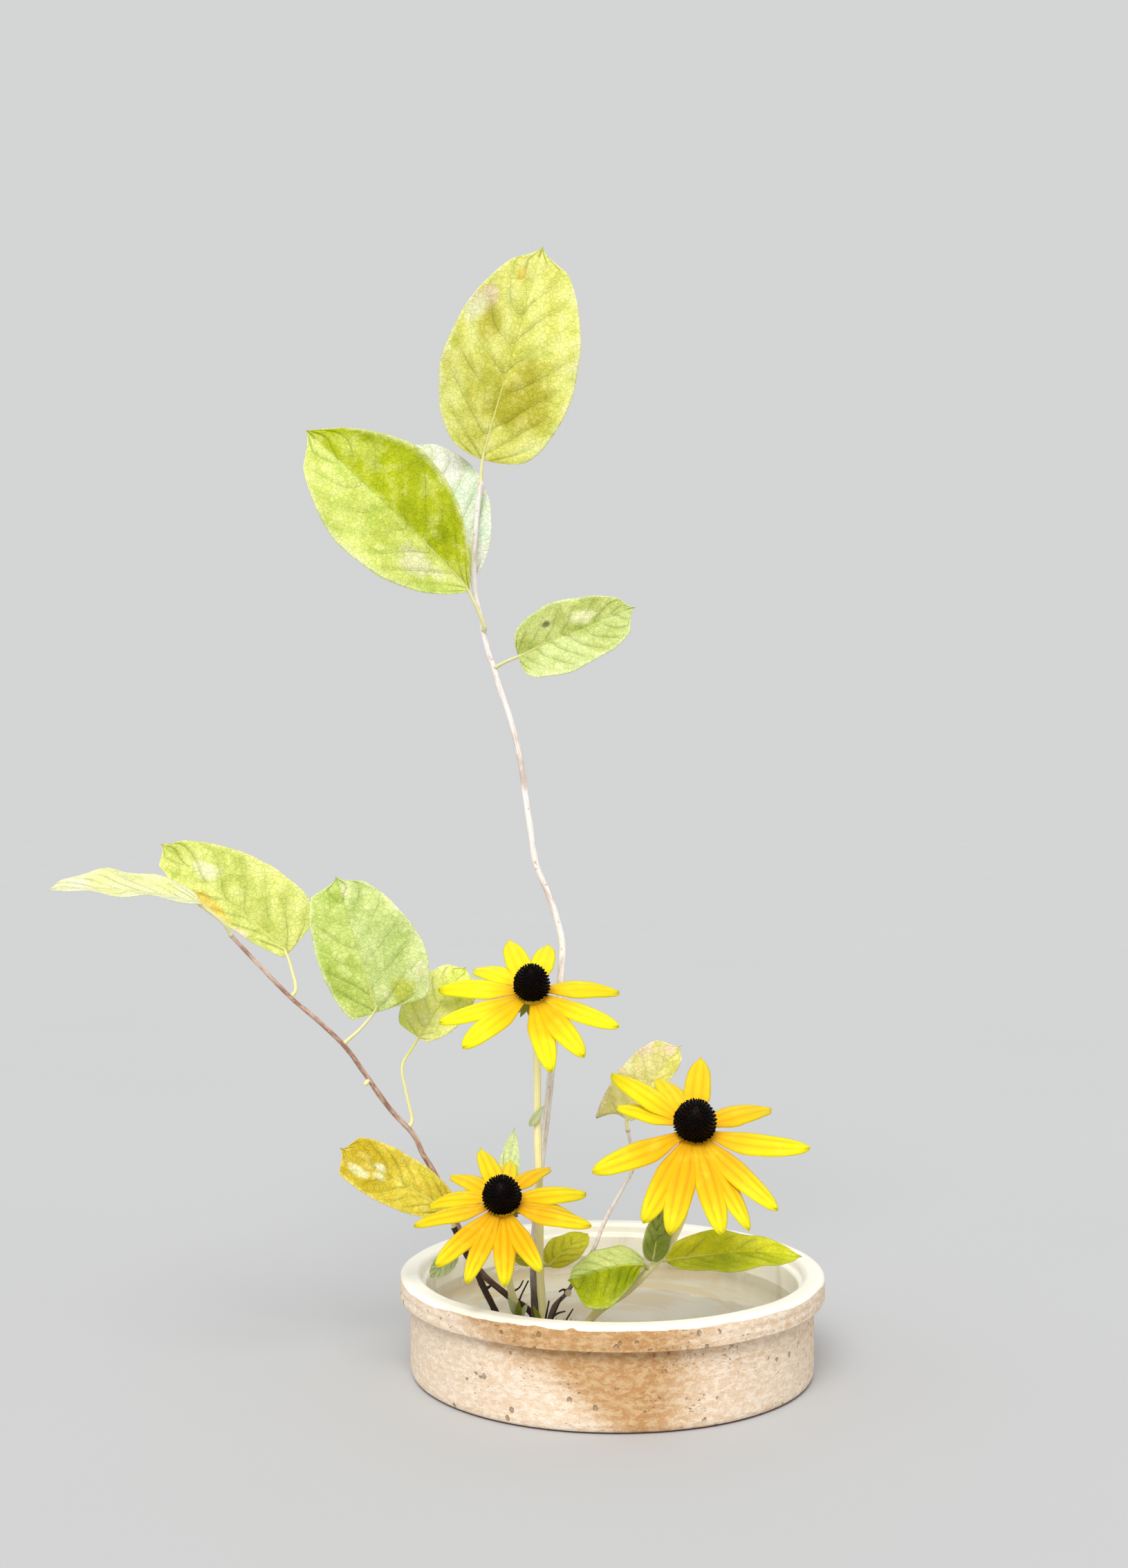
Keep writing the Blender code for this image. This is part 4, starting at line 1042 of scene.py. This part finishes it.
def build_stalk(leaf, slot):
    """The stalk, from the side of its stem to where it ends as the blade's midrib."""
    route = stem_route(leaf.stem, 2)
    up = leaf_axes(leaf)[3]
    midrib = [leaf_point(leaf, t, 0) - up * (0.35 - 0.1 * t) * MM for t in (0.03, 0.12, 0.23, 0.35)]
    middle = [mm(point) for point in leaf.stalk]
    seat = stalk_seat(route, taper(leaf.stem, len(route)), (middle + midrib)[0])
    path = smooth_route([seat] + middle + midrib, 1.2 * MM)
    widths = evenly(0.85, 0.4, len(path))
    widths[0] *= 1.35
    widths[1] *= 1.15
    stalk = tube(leaf.name + "_stalk", path, widths, 12)
    light = leaf.colours[1]
    cream = 0.4 if slot == "green_leaf" else 0.8
    paint(stalk, stalk_skin(
        leaf.name + "_stalk", between(light, screen(238, 230, 158), cream),
        between(light, screen(252, 248, 208), cream), between(light, screen(240, 238, 110), 0.5)))
    return stalk


def build_leaf(leaf):
    """A leaf with its stalk, as one piece."""
    slot = ("lime_leaf" if leaf.name in LIME_LEAVES
            else "pale_leaf" if leaf.name in PALE_LEAVES else "green_leaf")
    pieces = [build_blade(leaf, slot), build_stalk(leaf, slot)]
    hand_over(join(leaf.name, pieces), slot, leaf.name)


def head_axes(flower):
    """The head's axis, and two directions in the plane of its petals: right and up."""
    tilt, lean = math.radians(flower.tilt), math.radians(flower.lean)
    rise = math.sin(tilt)
    axis = Vector((rise * math.sin(lean), -math.cos(tilt), rise * math.cos(lean))).normalized()
    right = Vector((math.cos(lean), 0, -math.sin(lean)))
    right = (right - axis * right.dot(axis)).normalized()
    return axis, right, axis.cross(right)


def head_matrix(flower):
    """Turns a piece that stands on the origin along +Z onto the head's axis."""
    axis, right, up = head_axes(flower)
    return at(flower.centre) @ Matrix((right, up, axis)).transposed().to_4x4()


def ray(flower, azimuth):
    """Places along a petal or sepal: by how far out, how far aside and how high, in mm."""
    axis, right, up = head_axes(flower)
    outward = right * math.cos(azimuth) + up * math.sin(azimuth)
    across = axis.cross(outward)

    def spot(distance, side, height):
        return mm(flower.centre) + (outward * distance + across * side + axis * height) * MM

    return spot


def build_petal(flower, index, draw):
    """A ray petal: a shallow channel with two grooves, slightly twisted, notched at its tip."""
    look = bpy.context.scene.ikebana_flower
    azimuth, droop, reach = flower.petals[index]
    azimuth, droop = math.radians(azimuth), math.radians(droop)
    spot = ray(flower, azimuth)
    layer = index % 3 - 1       # petals lie over and under their neighbours
    wide = 0.5 * flower.petal_width * draw.uniform(0.98, 1.06)
    twist, sway = draw.uniform(-0.22, 0.22), draw.uniform(-1.4, 1.4)
    lift, seed, hook = draw.uniform(-0.5, 0.5), draw.uniform(0, 50), draw.uniform(-0.5, 3.0)
    notch, blunt, warm = draw.uniform(0.3, 1.1), draw.uniform(3.0, 5.0), 0.22 * draw.random() ** 2

    def place(t, v):
        tip_back = notch * t ** 8 * (math.cos(3 * math.pi * v) * 0.5 + 0.5) * (1 - 0.4 * abs(v))
        distance = PETAL_ROOT + (reach * math.cos(droop) - PETAL_ROOT) * t - tip_back
        height = 0.4 * layer - 0.3 - reach * math.sin(droop) * t ** 1.7
        width = wide * (0.34 + 0.66 * ease(t / 0.45)) * max(0.0, 1 - t ** blunt) ** 0.6
        width *= 1 + 0.03 * noise.noise((t * 5, v, seed))
        height -= 1.7 * v * v * min(1.0, 3 * t)
        groove = math.exp(-((abs(v) - GROOVE) / 0.11) ** 2)
        height -= 0.32 * groove * ease(3 * t) * ease(5 - 5 * t)
        height += 0.25 * noise.noise((t * 4, v * 1.5, seed)) * ease(2 * t)
        height += twist * v * width * t + lift * math.sin(math.pi * t) - hook * t ** 6
        return spot(distance, v * width + sway * t * t, height)

    piece, spots = shaped_grid(f"{flower.name}_petal_{index}", 34, 12, place)
    tints = []
    # Painted shade: the lower petals, lit less from above, turn more orange from their roots
    lower_petal_shade = max(0.0, -math.sin(azimuth))
    for (t, v), vertex in zip(spots, piece.data.vertices):
        drift = 0.16 * noise.noise(vertex.co * 110) + 0.08 * noise.noise(vertex.co * 400)
        share = ease((t - 0.06 - 0.34 * lower_petal_shade * flower.gold) / 0.45 + drift)
        colour = between(look.petal_root, look.petal, share)
        # Painted shade in the grooves: a deeper gold, more so on the lower petals
        groove = math.exp(-((abs(v) - GROOVE) / 0.14) ** 2) * ease(3 * t) * ease(4 - 4 * t)
        golden = flower.gold * (warm + (0.24 + 0.15 * lower_petal_shade) * (1 - warm) * groove)
        golden += 0.45 * (flower.gold - 0.7) * (1.15 - 0.75 * t + drift)
        colour = between(colour, screen(240, 158, 4), min(1.0, golden))
        # A darker orange at the very root: partly the petal's own, partly painted shade under the
        # disc
        colour = between(colour, screen(216, 128, 4), 0.6 * ease(1 - t / 0.24))
        tints.append(colour)
    store(piece, "tint", tints)
    thicken(piece, look.thickness)
    return piece


def build_ring(flower):
    """The short collar that the petals grow from, between the disc and the green cup."""
    look = bpy.context.scene.ikebana_flower
    profile = [(0, RING_BOTTOM), *run((3, RING_BOTTOM), (RING_RADIUS - 0.5, RING_BOTTOM), 3)]
    profile += arc((RING_RADIUS - 0.6, (RING_TOP + RING_BOTTOM) / 2), 1.0, -80, 80, 6)
    profile += [(3, RING_TOP), (0, RING_TOP)]
    ring, _ = wheel(flower.name + "_ring", profile, 40)
    seal(ring)
    ring.data.transform(head_matrix(flower))
    tint = between(look.petal_root, (0.3, 0.12, 0), 0.4)
    store(ring, "tint", [tint] * len(ring.data.vertices))
    return ring


def build_head(flower):
    """The petals and their collar, as one piece."""
    draw = random.Random(flower.name)
    pieces = [build_ring(flower)]
    pieces += [build_petal(flower, index, draw) for index in range(len(flower.petals))]
    for piece in pieces:
        paint(piece, PALETTE["petal"])
    head = join(flower.name + "_petals", pieces)
    hand_over(head, "yellow_petal", flower.name + "_petals")


def disc_surface(flower, share):
    """Radius and height on the cone, from its top (share 0) to its rim (1)."""
    radius, height = flower.disc_radius, flower.disc_height - 0.6
    bend = CONE_BEND * share
    wide = radius * 0.93 * math.sin(bend) ** (1 + 0.8 * flower.disc_point)
    tall = (math.cos(bend) - math.cos(CONE_BEND)) / (1 - math.cos(CONE_BEND)) * height
    tall += flower.disc_point * 1.6 * max(0.0, 1 - 3 * share)
    return wide, RING_TOP + 0.3 + tall


def build_floret():
    """One small pointed floret, standing on the origin."""
    bpy.ops.object.select_all(action="DESELECT")
    bpy.ops.mesh.primitive_cone_add(vertices=6, radius1=0.62 * MM, radius2=0.3 * MM, depth=1.5 * MM)
    floret = named("floret")
    select_only(floret)
    bpy.ops.object.mode_set(mode="EDIT")
    bpy.ops.mesh.select_all(action="SELECT")
    bpy.ops.mesh.bevel(offset=0.12 * MM, segments=1, affect="EDGES")
    bpy.ops.object.mode_set(mode="OBJECT")
    smooth(floret)
    return floret


def build_disc(flower):
    """The cone: a dome set all over with small pointed florets in spirals."""
    look = bpy.context.scene.ikebana_flower
    draw = random.Random(flower.name)
    steps = 20
    profile = [(0, RING_TOP + 0.3)]
    profile += [disc_surface(flower, 1 - step / steps) for step in range(steps)]
    profile += [(0, disc_surface(flower, 0)[1])]
    dome, _ = wheel(flower.name + "_disc", profile, 40)
    seal(dome)
    golden_angle = math.pi * (3 - math.sqrt(5))
    places = []
    for index in range(look.florets):
        share = math.sqrt((index + 0.5) / look.florets) * 0.97
        radius, height = disc_surface(flower, share)
        further, lower = disc_surface(flower, min(1.0, share + 0.02))
        slope = Vector((further - radius, 0, lower - height)).normalized()
        facing = Vector((-slope.z, 0, slope.x + 0.35)).normalized()
        spin = Matrix.Rotation(index * golden_angle, 4, "Z")
        size = draw.uniform(0.8, 1.1) * (0.72 + 0.35 * share)
        stretch = Matrix.Diagonal((size, size, draw.uniform(0.8, 1.5), 1))
        places.append(spin @ at((radius, 0, height)) @ aim(facing) @ stretch)
    disc = join(flower.name + "_disc", [dome] + copies(build_floret(), places))
    disc.data.transform(head_matrix(flower))
    paint(disc, PALETTE["disc"])
    hand_over(disc, "brown_disc", flower.name + "_disc")


def build_sepal(flower, index, draw):
    """A pointed sepal that spreads from the cup and bends back."""
    spot = ray(flower, 2 * math.pi * (index + draw.uniform(-0.15, 0.15)) / SEPALS)
    far, low, curl = draw.uniform(2.4, 3.8), draw.uniform(4, 7), draw.uniform(-1.2, 1.2)

    def place(t, v):
        height = -3.4 - low * t ** 1.5 - 0.8 * v * v * (1 - t)
        width = 1.7 * (0.5 + 0.7 * math.sin(math.pi * min(1, t * 0.75))) * (1 - t ** 2.2)
        return spot(SEPAL_ROOT + far * t, v * width + curl * t * t, height)

    sepal, _ = shaped_grid(f"{flower.name}_sepal_{index}", 12, 4, place)
    thicken(sepal, SEPAL_THICKNESS * MM)
    paint(sepal, PALETTE["sepal"])
    return sepal


def build_flower_stem(flower):
    """A ridged stem with the green cup of the head and its pointed sepals."""
    def ridges(ring, turn):
        return 0.05 * math.cos(9 * turn) + 0.05 * noise.noise((ring * 0.06, turn, 3))

    route = stem_route(flower.name, 1.3)
    body = tube(flower.name + "_stem", route, taper(flower.name, len(route)), 28, ridges)
    profile = [(0, CUP_BOTTOM), *arc((1.5, CUP_BOTTOM + 0.8), 0.8, -90, -40, 3)]
    profile += run((2.6, CUP_BOTTOM + 0.9), (5.4, CUP_TOP - 0.6), 4)
    profile += arc((5.0, CUP_TOP - 0.5), 0.5, 0, 90, 3) + [(0, CUP_TOP)]
    cup, _ = wheel(flower.name + "_cup", profile, 36)
    seal(cup)
    cup.data.transform(head_matrix(flower))
    paint(body, PALETTE["flower_stem"])
    paint(cup, PALETTE["sepal"])
    draw = random.Random(flower.name)
    pieces = [body, cup] + [build_sepal(flower, index, draw) for index in range(SEPALS)]
    hand_over(join(flower.name + "_stem", pieces), "green_stem", flower.name + "_stem")


def bowl_profile(rim, height, inner, wall):
    """The bowl's section in mm, from the middle of its floor over the rim to its foot."""
    profile = [(0, BOWL_FLOOR), *run((2, BOWL_FLOOR), (inner - BOWL_FILLET, BOWL_FLOOR), 18)]
    profile += arc((inner - BOWL_FILLET, BOWL_FLOOR + BOWL_FILLET), BOWL_FILLET, -90, 0, 8)
    profile += run((inner, BOWL_FLOOR + BOWL_FILLET + 1.5), (inner, height - 7), 12)
    profile += arc((inner + 1.6, height - 6.6), 1.6, 180, 110, 4)
    profile += run((inner + 2.2, height - 4.9), (inner + 2.8, height - 3.6), 2)
    # Rim, and the collar that hangs from it
    profile += arc((inner + 5.4, height - 2.6), 2.6, 170, 95, 8)
    profile += run((inner + 5.8, height), (rim - 3, height), 4)
    profile += arc((rim - 2.8, height - 2.8), 2.8, 85, 5, 9)
    profile += run((rim, height - 3.2), (rim, height - 9.3), 8)
    profile += arc((rim - 0.6, height - 9.8), 0.6, -5, -85, 4)
    # Outer wall, and the foot that it stands on
    profile += arc((wall + 0.7, height - 11.5), 0.7, 95, 175, 4)
    profile += run((wall, height - 12.6), (wall, 4.4), 22)
    profile += arc((wall - 4, 4), 4, 0, -75, 8)
    return profile + [(wall - 4.2, 0), *run((wall - 6, 0), (2, 0), 8), (0, 0)]


def pin_places():
    """Where the holder's pins stand: in staggered rows, with room for the stems."""
    stems = [point / MM for name in STEMS for point in stem_route(name, 2) if point.z < 30 * MM]
    middle = HOLDER_TOP + (PIN_LENGTH - PIN_SUNK) / 2
    rows = int(HOLDER_RADIUS / PIN_PITCH / 0.866) + 1
    places = []
    for row in range(-rows, rows + 1):
        for column in range(-rows, rows + 1):
            x, y = (column + 0.5 * (row % 2)) * PIN_PITCH, row * PIN_PITCH * math.sqrt(3) / 2
            if math.hypot(x, y) > HOLDER_RADIUS - PIN_MARGIN:
                continue
            x, y = x + HOLDER_CENTRE[0], y + HOLDER_CENTRE[1]
            if min(math.hypot(point.x - x, point.y - y) for point in stems) >= PIN_CLEARANCE:
                places.append(at((x, y, middle)))
    return places


def build_side_twig(index):
    """A thin, knotty side twig."""
    def knots(ring, turn):
        return 0.12 * noise.noise((ring * 0.3, math.cos(turn), math.sin(turn)))

    points, foot, tip = SIDE_TWIGS[index]
    route = smooth_route([mm(point) for point in points], 1.0 * MM)
    twig = tube(f"side_twig_{index}", route, evenly(foot, tip, len(route)), 12, knots)
    paint(twig, PALETTE["dark_bark"])
    return twig


def build_cut_end():
    """The end of a sawn twig, with pale wood on its cut."""
    place, end, radius = CUT_END
    bpy.ops.object.select_all(action="DESELECT")
    bpy.ops.mesh.primitive_cylinder_add(vertices=24, radius=radius * MM, depth=1)
    stub = named("cut_end")
    paint(stub, PALETTE["dark_bark"], PALETTE["cut_wood"])
    for face in stub.data.polygons:
        face.material_index = 1 if face.normal.z > 0.5 else 0
    start, stop = mm(place), mm(end)
    length = Matrix.Diagonal((1, 1, (stop - start).length, 1))
    stub.data.transform(Matrix.Translation((start + stop) / 2) @ aim(stop - start) @ length)
    bevel_edges(stub, 0.12, 2)
    return stub


def build_shoot(index):
    """A small shoot: a narrow leaf without veins or a stalk."""
    base, tip, facing, half_width, finish = SHOOTS[index]
    half = (half_width, 0.6, 0.9, 0)
    shoot = Leaf(f"shoot_{index}", base, tip, facing, half, half, 0.8, 14, 0.2, (), 3, (), ())

    def place(t, v):
        return leaf_point(shoot, t, v)

    blade, _ = shaped_grid(shoot.name, 18, 8, place, cosine=True)
    thicken(blade, SEPAL_THICKNESS * MM)
    paint(blade, PALETTE[finish])
    return blade


def build_bud():
    """The bud that hangs at the fork of the left branch."""
    bpy.ops.object.select_all(action="DESELECT")
    bpy.ops.mesh.primitive_uv_sphere_add(segments=20, ring_count=12, radius=BUD_RADIUS * MM)
    bud = named("bud")
    slender = Matrix.Diagonal((0.85, 0.85, 1.35, 1))
    bud.data.transform(at(BUD_PLACE) @ aim(Vector(BUD_DIRECTION)) @ slender)
    smooth(bud)
    paint(bud, PALETTE["flower_stem"])
    return bud


class Step:
    """What every operator here shares: it can be undone, and it needs no open window."""
    bl_options = {"REGISTER", "UNDO"}


class IKEBANA_OT_bowl(Step, bpy.types.Operator):
    """Turn the bowl and glaze its rim and inside"""
    bl_idname = "ikebana.bowl"
    bl_label = "Bowl"

    def execute(self, context):
        look = context.scene.ikebana_bowl
        height, inner = look.height / MM, look.inner_radius / MM
        profile = bowl_profile(look.rim_radius / MM, height, inner, look.wall_radius / MM)

        def place(radius, level, turn):
            """Leaves the wall a little out of round, with the rings that throwing left."""
            x, y = math.cos(turn), math.sin(turn)
            soft = noise.noise((x * 1.3, y * 1.3, level * 0.02))
            fine = noise.noise((x * 7, y * 7, level * 0.35))
            outside = ease((radius - inner - 1) / 3) * ease((level - 1) / 3)
            thrown = 0.12 * math.sin(level * 1.9 + 1.5 * soft) * outside
            radius += (0.5 * soft + 0.14 * fine) * ease(radius / 20) + thrown - 0.35 * outside
            if level > 15:
                level += 0.22 * noise.noise((x * 2.5, y * 2.5, 4.0)) - 0.1
            return radius, level

        bowl, rings = wheel("bowl", profile, 224, place)
        glaze, foot, inner_wall = [], [], []
        for radius, level, turn in rings:
            x, y = math.cos(turn), math.sin(turn)
            edge = height - 1.9 + 0.9 * noise.noise((x * 4, y * 4, 1.0))
            edge += 0.45 * noise.noise((x * 16, y * 16, 2.0))
            edge += 1.1 * math.exp(-((turn + math.pi / 2 + 0.2) / 0.022) ** 2)
            inside = radius < inner + 4 and level > BOWL_FLOOR - 1
            glaze.append(1.0 if inside else max(0.0, min(1.0, 0.5 + (level - edge) / 2.4)))
            # foot marks the bottom ring that gets a painted dark shadow line
            foot.append(1.0 if level < 0.9 and radius > 30 else 0.0)
            inner_wall.append(ease((level - 9) / 8) * ease((height - 3 - level) / 3)
                              * ease(inner + 1.5 - radius))
        for name, values in (("glaze", glaze), ("foot", foot), ("inner_wall", inner_wall)):
            store(bowl, name, values)
        seal(bowl)
        paint(bowl, stoneware())
        hand_over(bowl, "stoneware", "bowl")
        return {"FINISHED"}


class IKEBANA_OT_water(Step, bpy.types.Operator):
    """Fill the bowl with water that creeps up its wall"""
    bl_idname = "ikebana.water"
    bl_label = "Water"

    def execute(self, context):
        level = context.scene.ikebana_water.level / MM
        inner = context.scene.ikebana_bowl.inner_radius / MM
        sunk = 0.35             # how far the water reaches into the clay, so that no gap shows
        wall, bottom, corner = inner + sunk, BOWL_FLOOR - sunk, inner - BOWL_FILLET
        profile = [(0, level), *run((2, level), (inner - 5, level), 24)]
        profile += [(inner - 5 + step, level + 0.9 * (step / 5) ** 3) for step in range(5)]
        profile += [(wall, level + 1.0), *run((wall, level), (wall, BOWL_FLOOR + BOWL_FILLET), 4)]
        profile += arc((corner, BOWL_FLOOR + BOWL_FILLET), BOWL_FILLET + sunk, 0, -90, 8)
        profile += [*run((corner - 2, bottom), (2, bottom), 6), (0, bottom)]
        water, _ = wheel("water", profile, 128)
        seal(water)
        paint(water, clear_water())
        hand_over(water, "water", "water")
        return {"FINISHED"}


class IKEBANA_OT_pin_holder(Step, bpy.types.Operator):
    """Cast the heavy base and set its brass pins"""
    bl_idname = "ikebana.pin_holder"
    bl_label = "Pin holder"

    def execute(self, context):
        bpy.ops.object.select_all(action="DESELECT")
        bpy.ops.mesh.primitive_cylinder_add(
            vertices=96, radius=HOLDER_RADIUS * MM, depth=(HOLDER_TOP - HOLDER_BOTTOM) * MM)
        base = named("pin_holder")
        base.data.transform(at((*HOLDER_CENTRE, (HOLDER_TOP + HOLDER_BOTTOM) / 2)))
        bevel_edges(base, 0.6, 3)
        paint(base, dull_metal("grey_lead", (0.10, 0.10, 0.10), (0.30, 0.30, 0.29), 0.6, 0.5))
        bpy.ops.object.select_all(action="DESELECT")
        bpy.ops.mesh.primitive_cone_add(
            vertices=8, radius1=0.6 * MM, radius2=0.12 * MM, depth=(PIN_LENGTH + PIN_SUNK) * MM)
        pin = named("pin")
        smooth(pin)
        paint(pin, dull_metal("brass_pins", screen(150, 110, 50), screen(214, 176, 96), 1.0, 0.4))
        holder = join("pin_holder", [base] + copies(pin, pin_places()))
        hand_over(holder, "lead_and_brass", "pin_holder")
        return {"FINISHED"}


class IKEBANA_OT_branches(Step, bpy.types.Operator):
    """Grow the four woody twigs"""
    bl_idname = "ikebana.branches"
    bl_label = "Branches"

    def execute(self, context):
        spacing = 1.2

        def relief(ring, turn):
            along, x, y = ring * spacing, math.cos(turn), math.sin(turn)
            coarse = noise.noise((along * 0.16, x * 1.2, y * 1.2))
            return 0.10 * coarse + 0.05 * noise.noise((along * 0.9, x * 2.6, y * 2.6))

        for name, (slot, finish) in BRANCHES.items():
            route = stem_route(name, spacing)
            branch = tube(name, route, taper(name, len(route)), 22, relief)
            paint(branch, PALETTE[finish])
            hand_over(branch, slot, name)
        return {"FINISHED"}


class IKEBANA_OT_leaves(Step, bpy.types.Operator):
    """Grow every leaf with its stalk"""
    bl_idname = "ikebana.leaves"
    bl_label = "Leaves"

    def execute(self, context):
        for leaf in LEAVES:
            build_leaf(leaf)
        return {"FINISHED"}


class IKEBANA_OT_flowers(Step, bpy.types.Operator):
    """Grow the three coneflowers: stem, petals and disc"""
    bl_idname = "ikebana.flowers"
    bl_label = "Flowers"

    def execute(self, context):
        for flower in FLOWERS:
            build_flower_stem(flower)
            build_head(flower)
            build_disc(flower)
        return {"FINISHED"}


class IKEBANA_OT_shoots(Step, bpy.types.Operator):
    """Add the bud, the bract, the twig ends and the small shoots round the pin holder"""
    bl_idname = "ikebana.shoots"
    bl_label = "Shoots"

    def execute(self, context):
        twigs = [build_side_twig(index) for index in range(len(SIDE_TWIGS))]
        hand_over(join("twig_ends", twigs + [build_cut_end()]), "brown_bark")
        shoots = [build_shoot(index) for index in range(len(SHOOTS))]
        hand_over(join("shoots_and_bud", shoots + [build_bud()]), "green_stem")
        return {"FINISHED"}


class IKEBANA_OT_stage(Step, bpy.types.Operator):
    """Lay the floor and set the camera and lights"""
    bl_idname = "ikebana.stage"
    bl_label = "Stage"

    def execute(self, context):
        look = context.scene.ikebana_stage
        bpy.ops.object.select_all(action="DESELECT")
        bpy.ops.mesh.primitive_circle_add(vertices=96, radius=8, fill_type="NGON")
        floor = named("floor")
        recipe = Recipe("floor_paper")
        colour = recipe.mix(recipe.noise(recipe.place(), 3, 2), look.floor,
                            tuple(0.97 * part for part in look.floor))
        paint(floor, recipe.set(Base_Color=colour, Roughness=0.9, Specular_IOR_Level=0.1))
        world = bpy.data.worlds.new("studio")
        context.scene.world = world
        world.use_nodes = True
        background = world.node_tree.nodes["Background"]
        background.inputs["Color"].default_value = SKY
        background.inputs["Strength"].default_value = SKY_STRENGTH
        for name, towards, setting, spread, colour in SUNS:
            bpy.ops.object.light_add(type="SUN", location=towards)
            light = bpy.context.object
            light.name = name
            light.data.energy = getattr(look, setting)
            light.data.angle = math.radians(spread)
            light.data.color = colour
            light.rotation_euler = (-Vector(towards)).to_track_quat("-Z", "Y").to_euler()
        bpy.ops.object.camera_add(location=CAMERA_PLACE, rotation=(math.pi / 2, 0, 0))
        camera = bpy.context.object
        camera.name = "camera"
        camera.data.lens = look.lens
        camera.data.clip_start = 0.02
        context.scene.camera = camera
        context.scene.view_settings.view_transform = "Standard"
        return {"FINISHED"}


class IKEBANA_PT_arrangement(bpy.types.Panel):
    """Lists the settings and the steps that build the arrangement"""
    bl_idname = "IKEBANA_PT_arrangement"
    bl_label = "Ikebana arrangement"
    bl_space_type = "VIEW_3D"
    bl_region_type = "UI"
    bl_category = "Ikebana"

    def draw(self, context):
        for group in SETTINGS:
            box = self.layout.box()
            for name in SETTINGS[group].__annotations__:
                box.prop(getattr(context.scene, group), name)
        for operator in OPERATORS:
            self.layout.operator(operator.bl_idname)


# Points, and radii at the foot and the tip, of each thin side twig
SIDE_TWIGS = (
    (((-33, -52, 16), (-30.5, -51, 30), (-27.9, -50, 43.4)), 0.8, 0.35),
    (((-31, -53, 16), (-27.5, -51.5, 33), (-22.6, -50, 45)), 0.8, 0.35),
    (((-26.2, -51, 37), (-24.2, -50.3, 38.2), (-21, -50.2, 39)), 0.5, 0.3),
    (((-29, -54, 16), (-22, -52, 33), (-17.8, -50, 40)), 0.7, 0.3),
    (((-41, -49.2, 42), (-39.5, -50, 46), (-36.6, -50.5, 52)), 0.45, 0.3),
    (((-20, -29.2, 41.5), (-22, -30.5, 43), (-23.8, -31, 42)), 0.6, 0.35),
    (((-56, -45, 47.3), (-53.8, -46, 47.9), (-52.6, -46.8, 49)), 0.9, 0.45),
    (((-45, -36, 43), (-41, -38, 45.5), (-39, -38.5, 49)), 0.5, 0.3),
)

# Start, end and radius of the sawn end
CUT_END = ((-20.2, -29, 41.4), (-19.8, -33.2, 42.2), 1.5)

# Base, tip, facing, half width and finish of each small shoot
SHOOTS = (
    ((-36.2, -41.7, 115.6), (-30.2, -42.3, 124.4), (0.2, -1, 0.3), 1.9, "sprout"),
    ((-41.6, -50.2, 37), (-45.2, -52.5, 46.2), (0.1, -1, 0.3), 1.5, "sprout"),
    ((-40.8, -50.4, 36.5), (-40.6, -53.5, 44.5), (0, -1, 0.3), 1.3, "sepal"),
    ((-40.2, -50.2, 36), (-36.8, -53, 43.2), (-0.1, -1, 0.4), 1.3, "sprout"),
    ((-31.4, -48.6, 33), (-34.6, -52.4, 41.8), (0.1, -1, 0.4), 1.2, "sepal"),
)

# Slot and finish of each branch
BRANCHES = {
    "tall_branch": ("pale_bark", "pale_bark"),
    "left_branch": ("brown_bark", "brown_bark"),
    "short_branch": ("brown_bark", "dark_bark"),
    "right_twig": ("pale_bark", "grey_bark"),
}

LIME_LEAVES = (
    "tall_branch_top_leaf", "tall_branch_front_leaf", "left_branch_second_leaf",
    "left_branch_third_leaf", "left_branch_fourth_leaf", "short_branch_leaf")
PALE_LEAVES = (
    "tall_branch_back_leaf", "tall_branch_side_leaf", "left_branch_tip_leaf",
    "right_twig_leaf", "lower_flower_leaf")

PALETTE = {}

OPERATORS = (
    IKEBANA_OT_bowl, IKEBANA_OT_water, IKEBANA_OT_pin_holder, IKEBANA_OT_branches,
    IKEBANA_OT_leaves, IKEBANA_OT_flowers, IKEBANA_OT_shoots, IKEBANA_OT_stage)


def mix_palette():
    """Makes the finishes that several pieces share."""
    PALETTE["petal"] = petal_skin()
    PALETTE["disc"] = floret_skin()
    for finish, name, low, high in (
            ("flower_stem", "flower_stem_skin", (252, 238, 158), (255, 254, 208)),
            ("sepal", "sepal_skin", (112, 120, 20), (182, 184, 50)),
            ("cut_wood", "cut_wood", (214, 190, 150), (244, 232, 206)),
            ("sprout", "sprout_skin", (176, 190, 120), (228, 236, 196))):
        PALETTE[finish] = stalk_skin(name, screen(*low), screen(*high))
    for finish, name, dark, pale, pale_share in (
            ("pale_bark", "pale_pinkish_bark", (206, 186, 172), (252, 246, 242), 0.9),
            ("grey_bark", "grey_bark", (210, 192, 180), (253, 245, 238), 0.8),
            ("dark_bark", "dark_bark", (60, 42, 34), (120, 92, 76), 0.3),
            ("brown_bark", "brown_bark", (158, 116, 94), (232, 202, 184), 0.7)):
        PALETTE[finish] = bark(name, screen(*dark), screen(*pale), pale_share)


def register():
    for group, kind in SETTINGS.items():
        bpy.utils.register_class(kind)
        setattr(bpy.types.Scene, group, bpy.props.PointerProperty(type=kind))
    for kind in (*OPERATORS, IKEBANA_PT_arrangement):
        bpy.utils.register_class(kind)


def unregister():
    for kind in (IKEBANA_PT_arrangement, *reversed(OPERATORS)):
        bpy.utils.unregister_class(kind)
    for group, kind in SETTINGS.items():
        delattr(bpy.types.Scene, group)
        bpy.utils.unregister_class(kind)


def main():
    register()
    mix_palette()
    for operator in OPERATORS:
        family, step = operator.bl_idname.split(".")
        getattr(getattr(bpy.ops, family), step)()


if __name__ == "__main__":
    main()
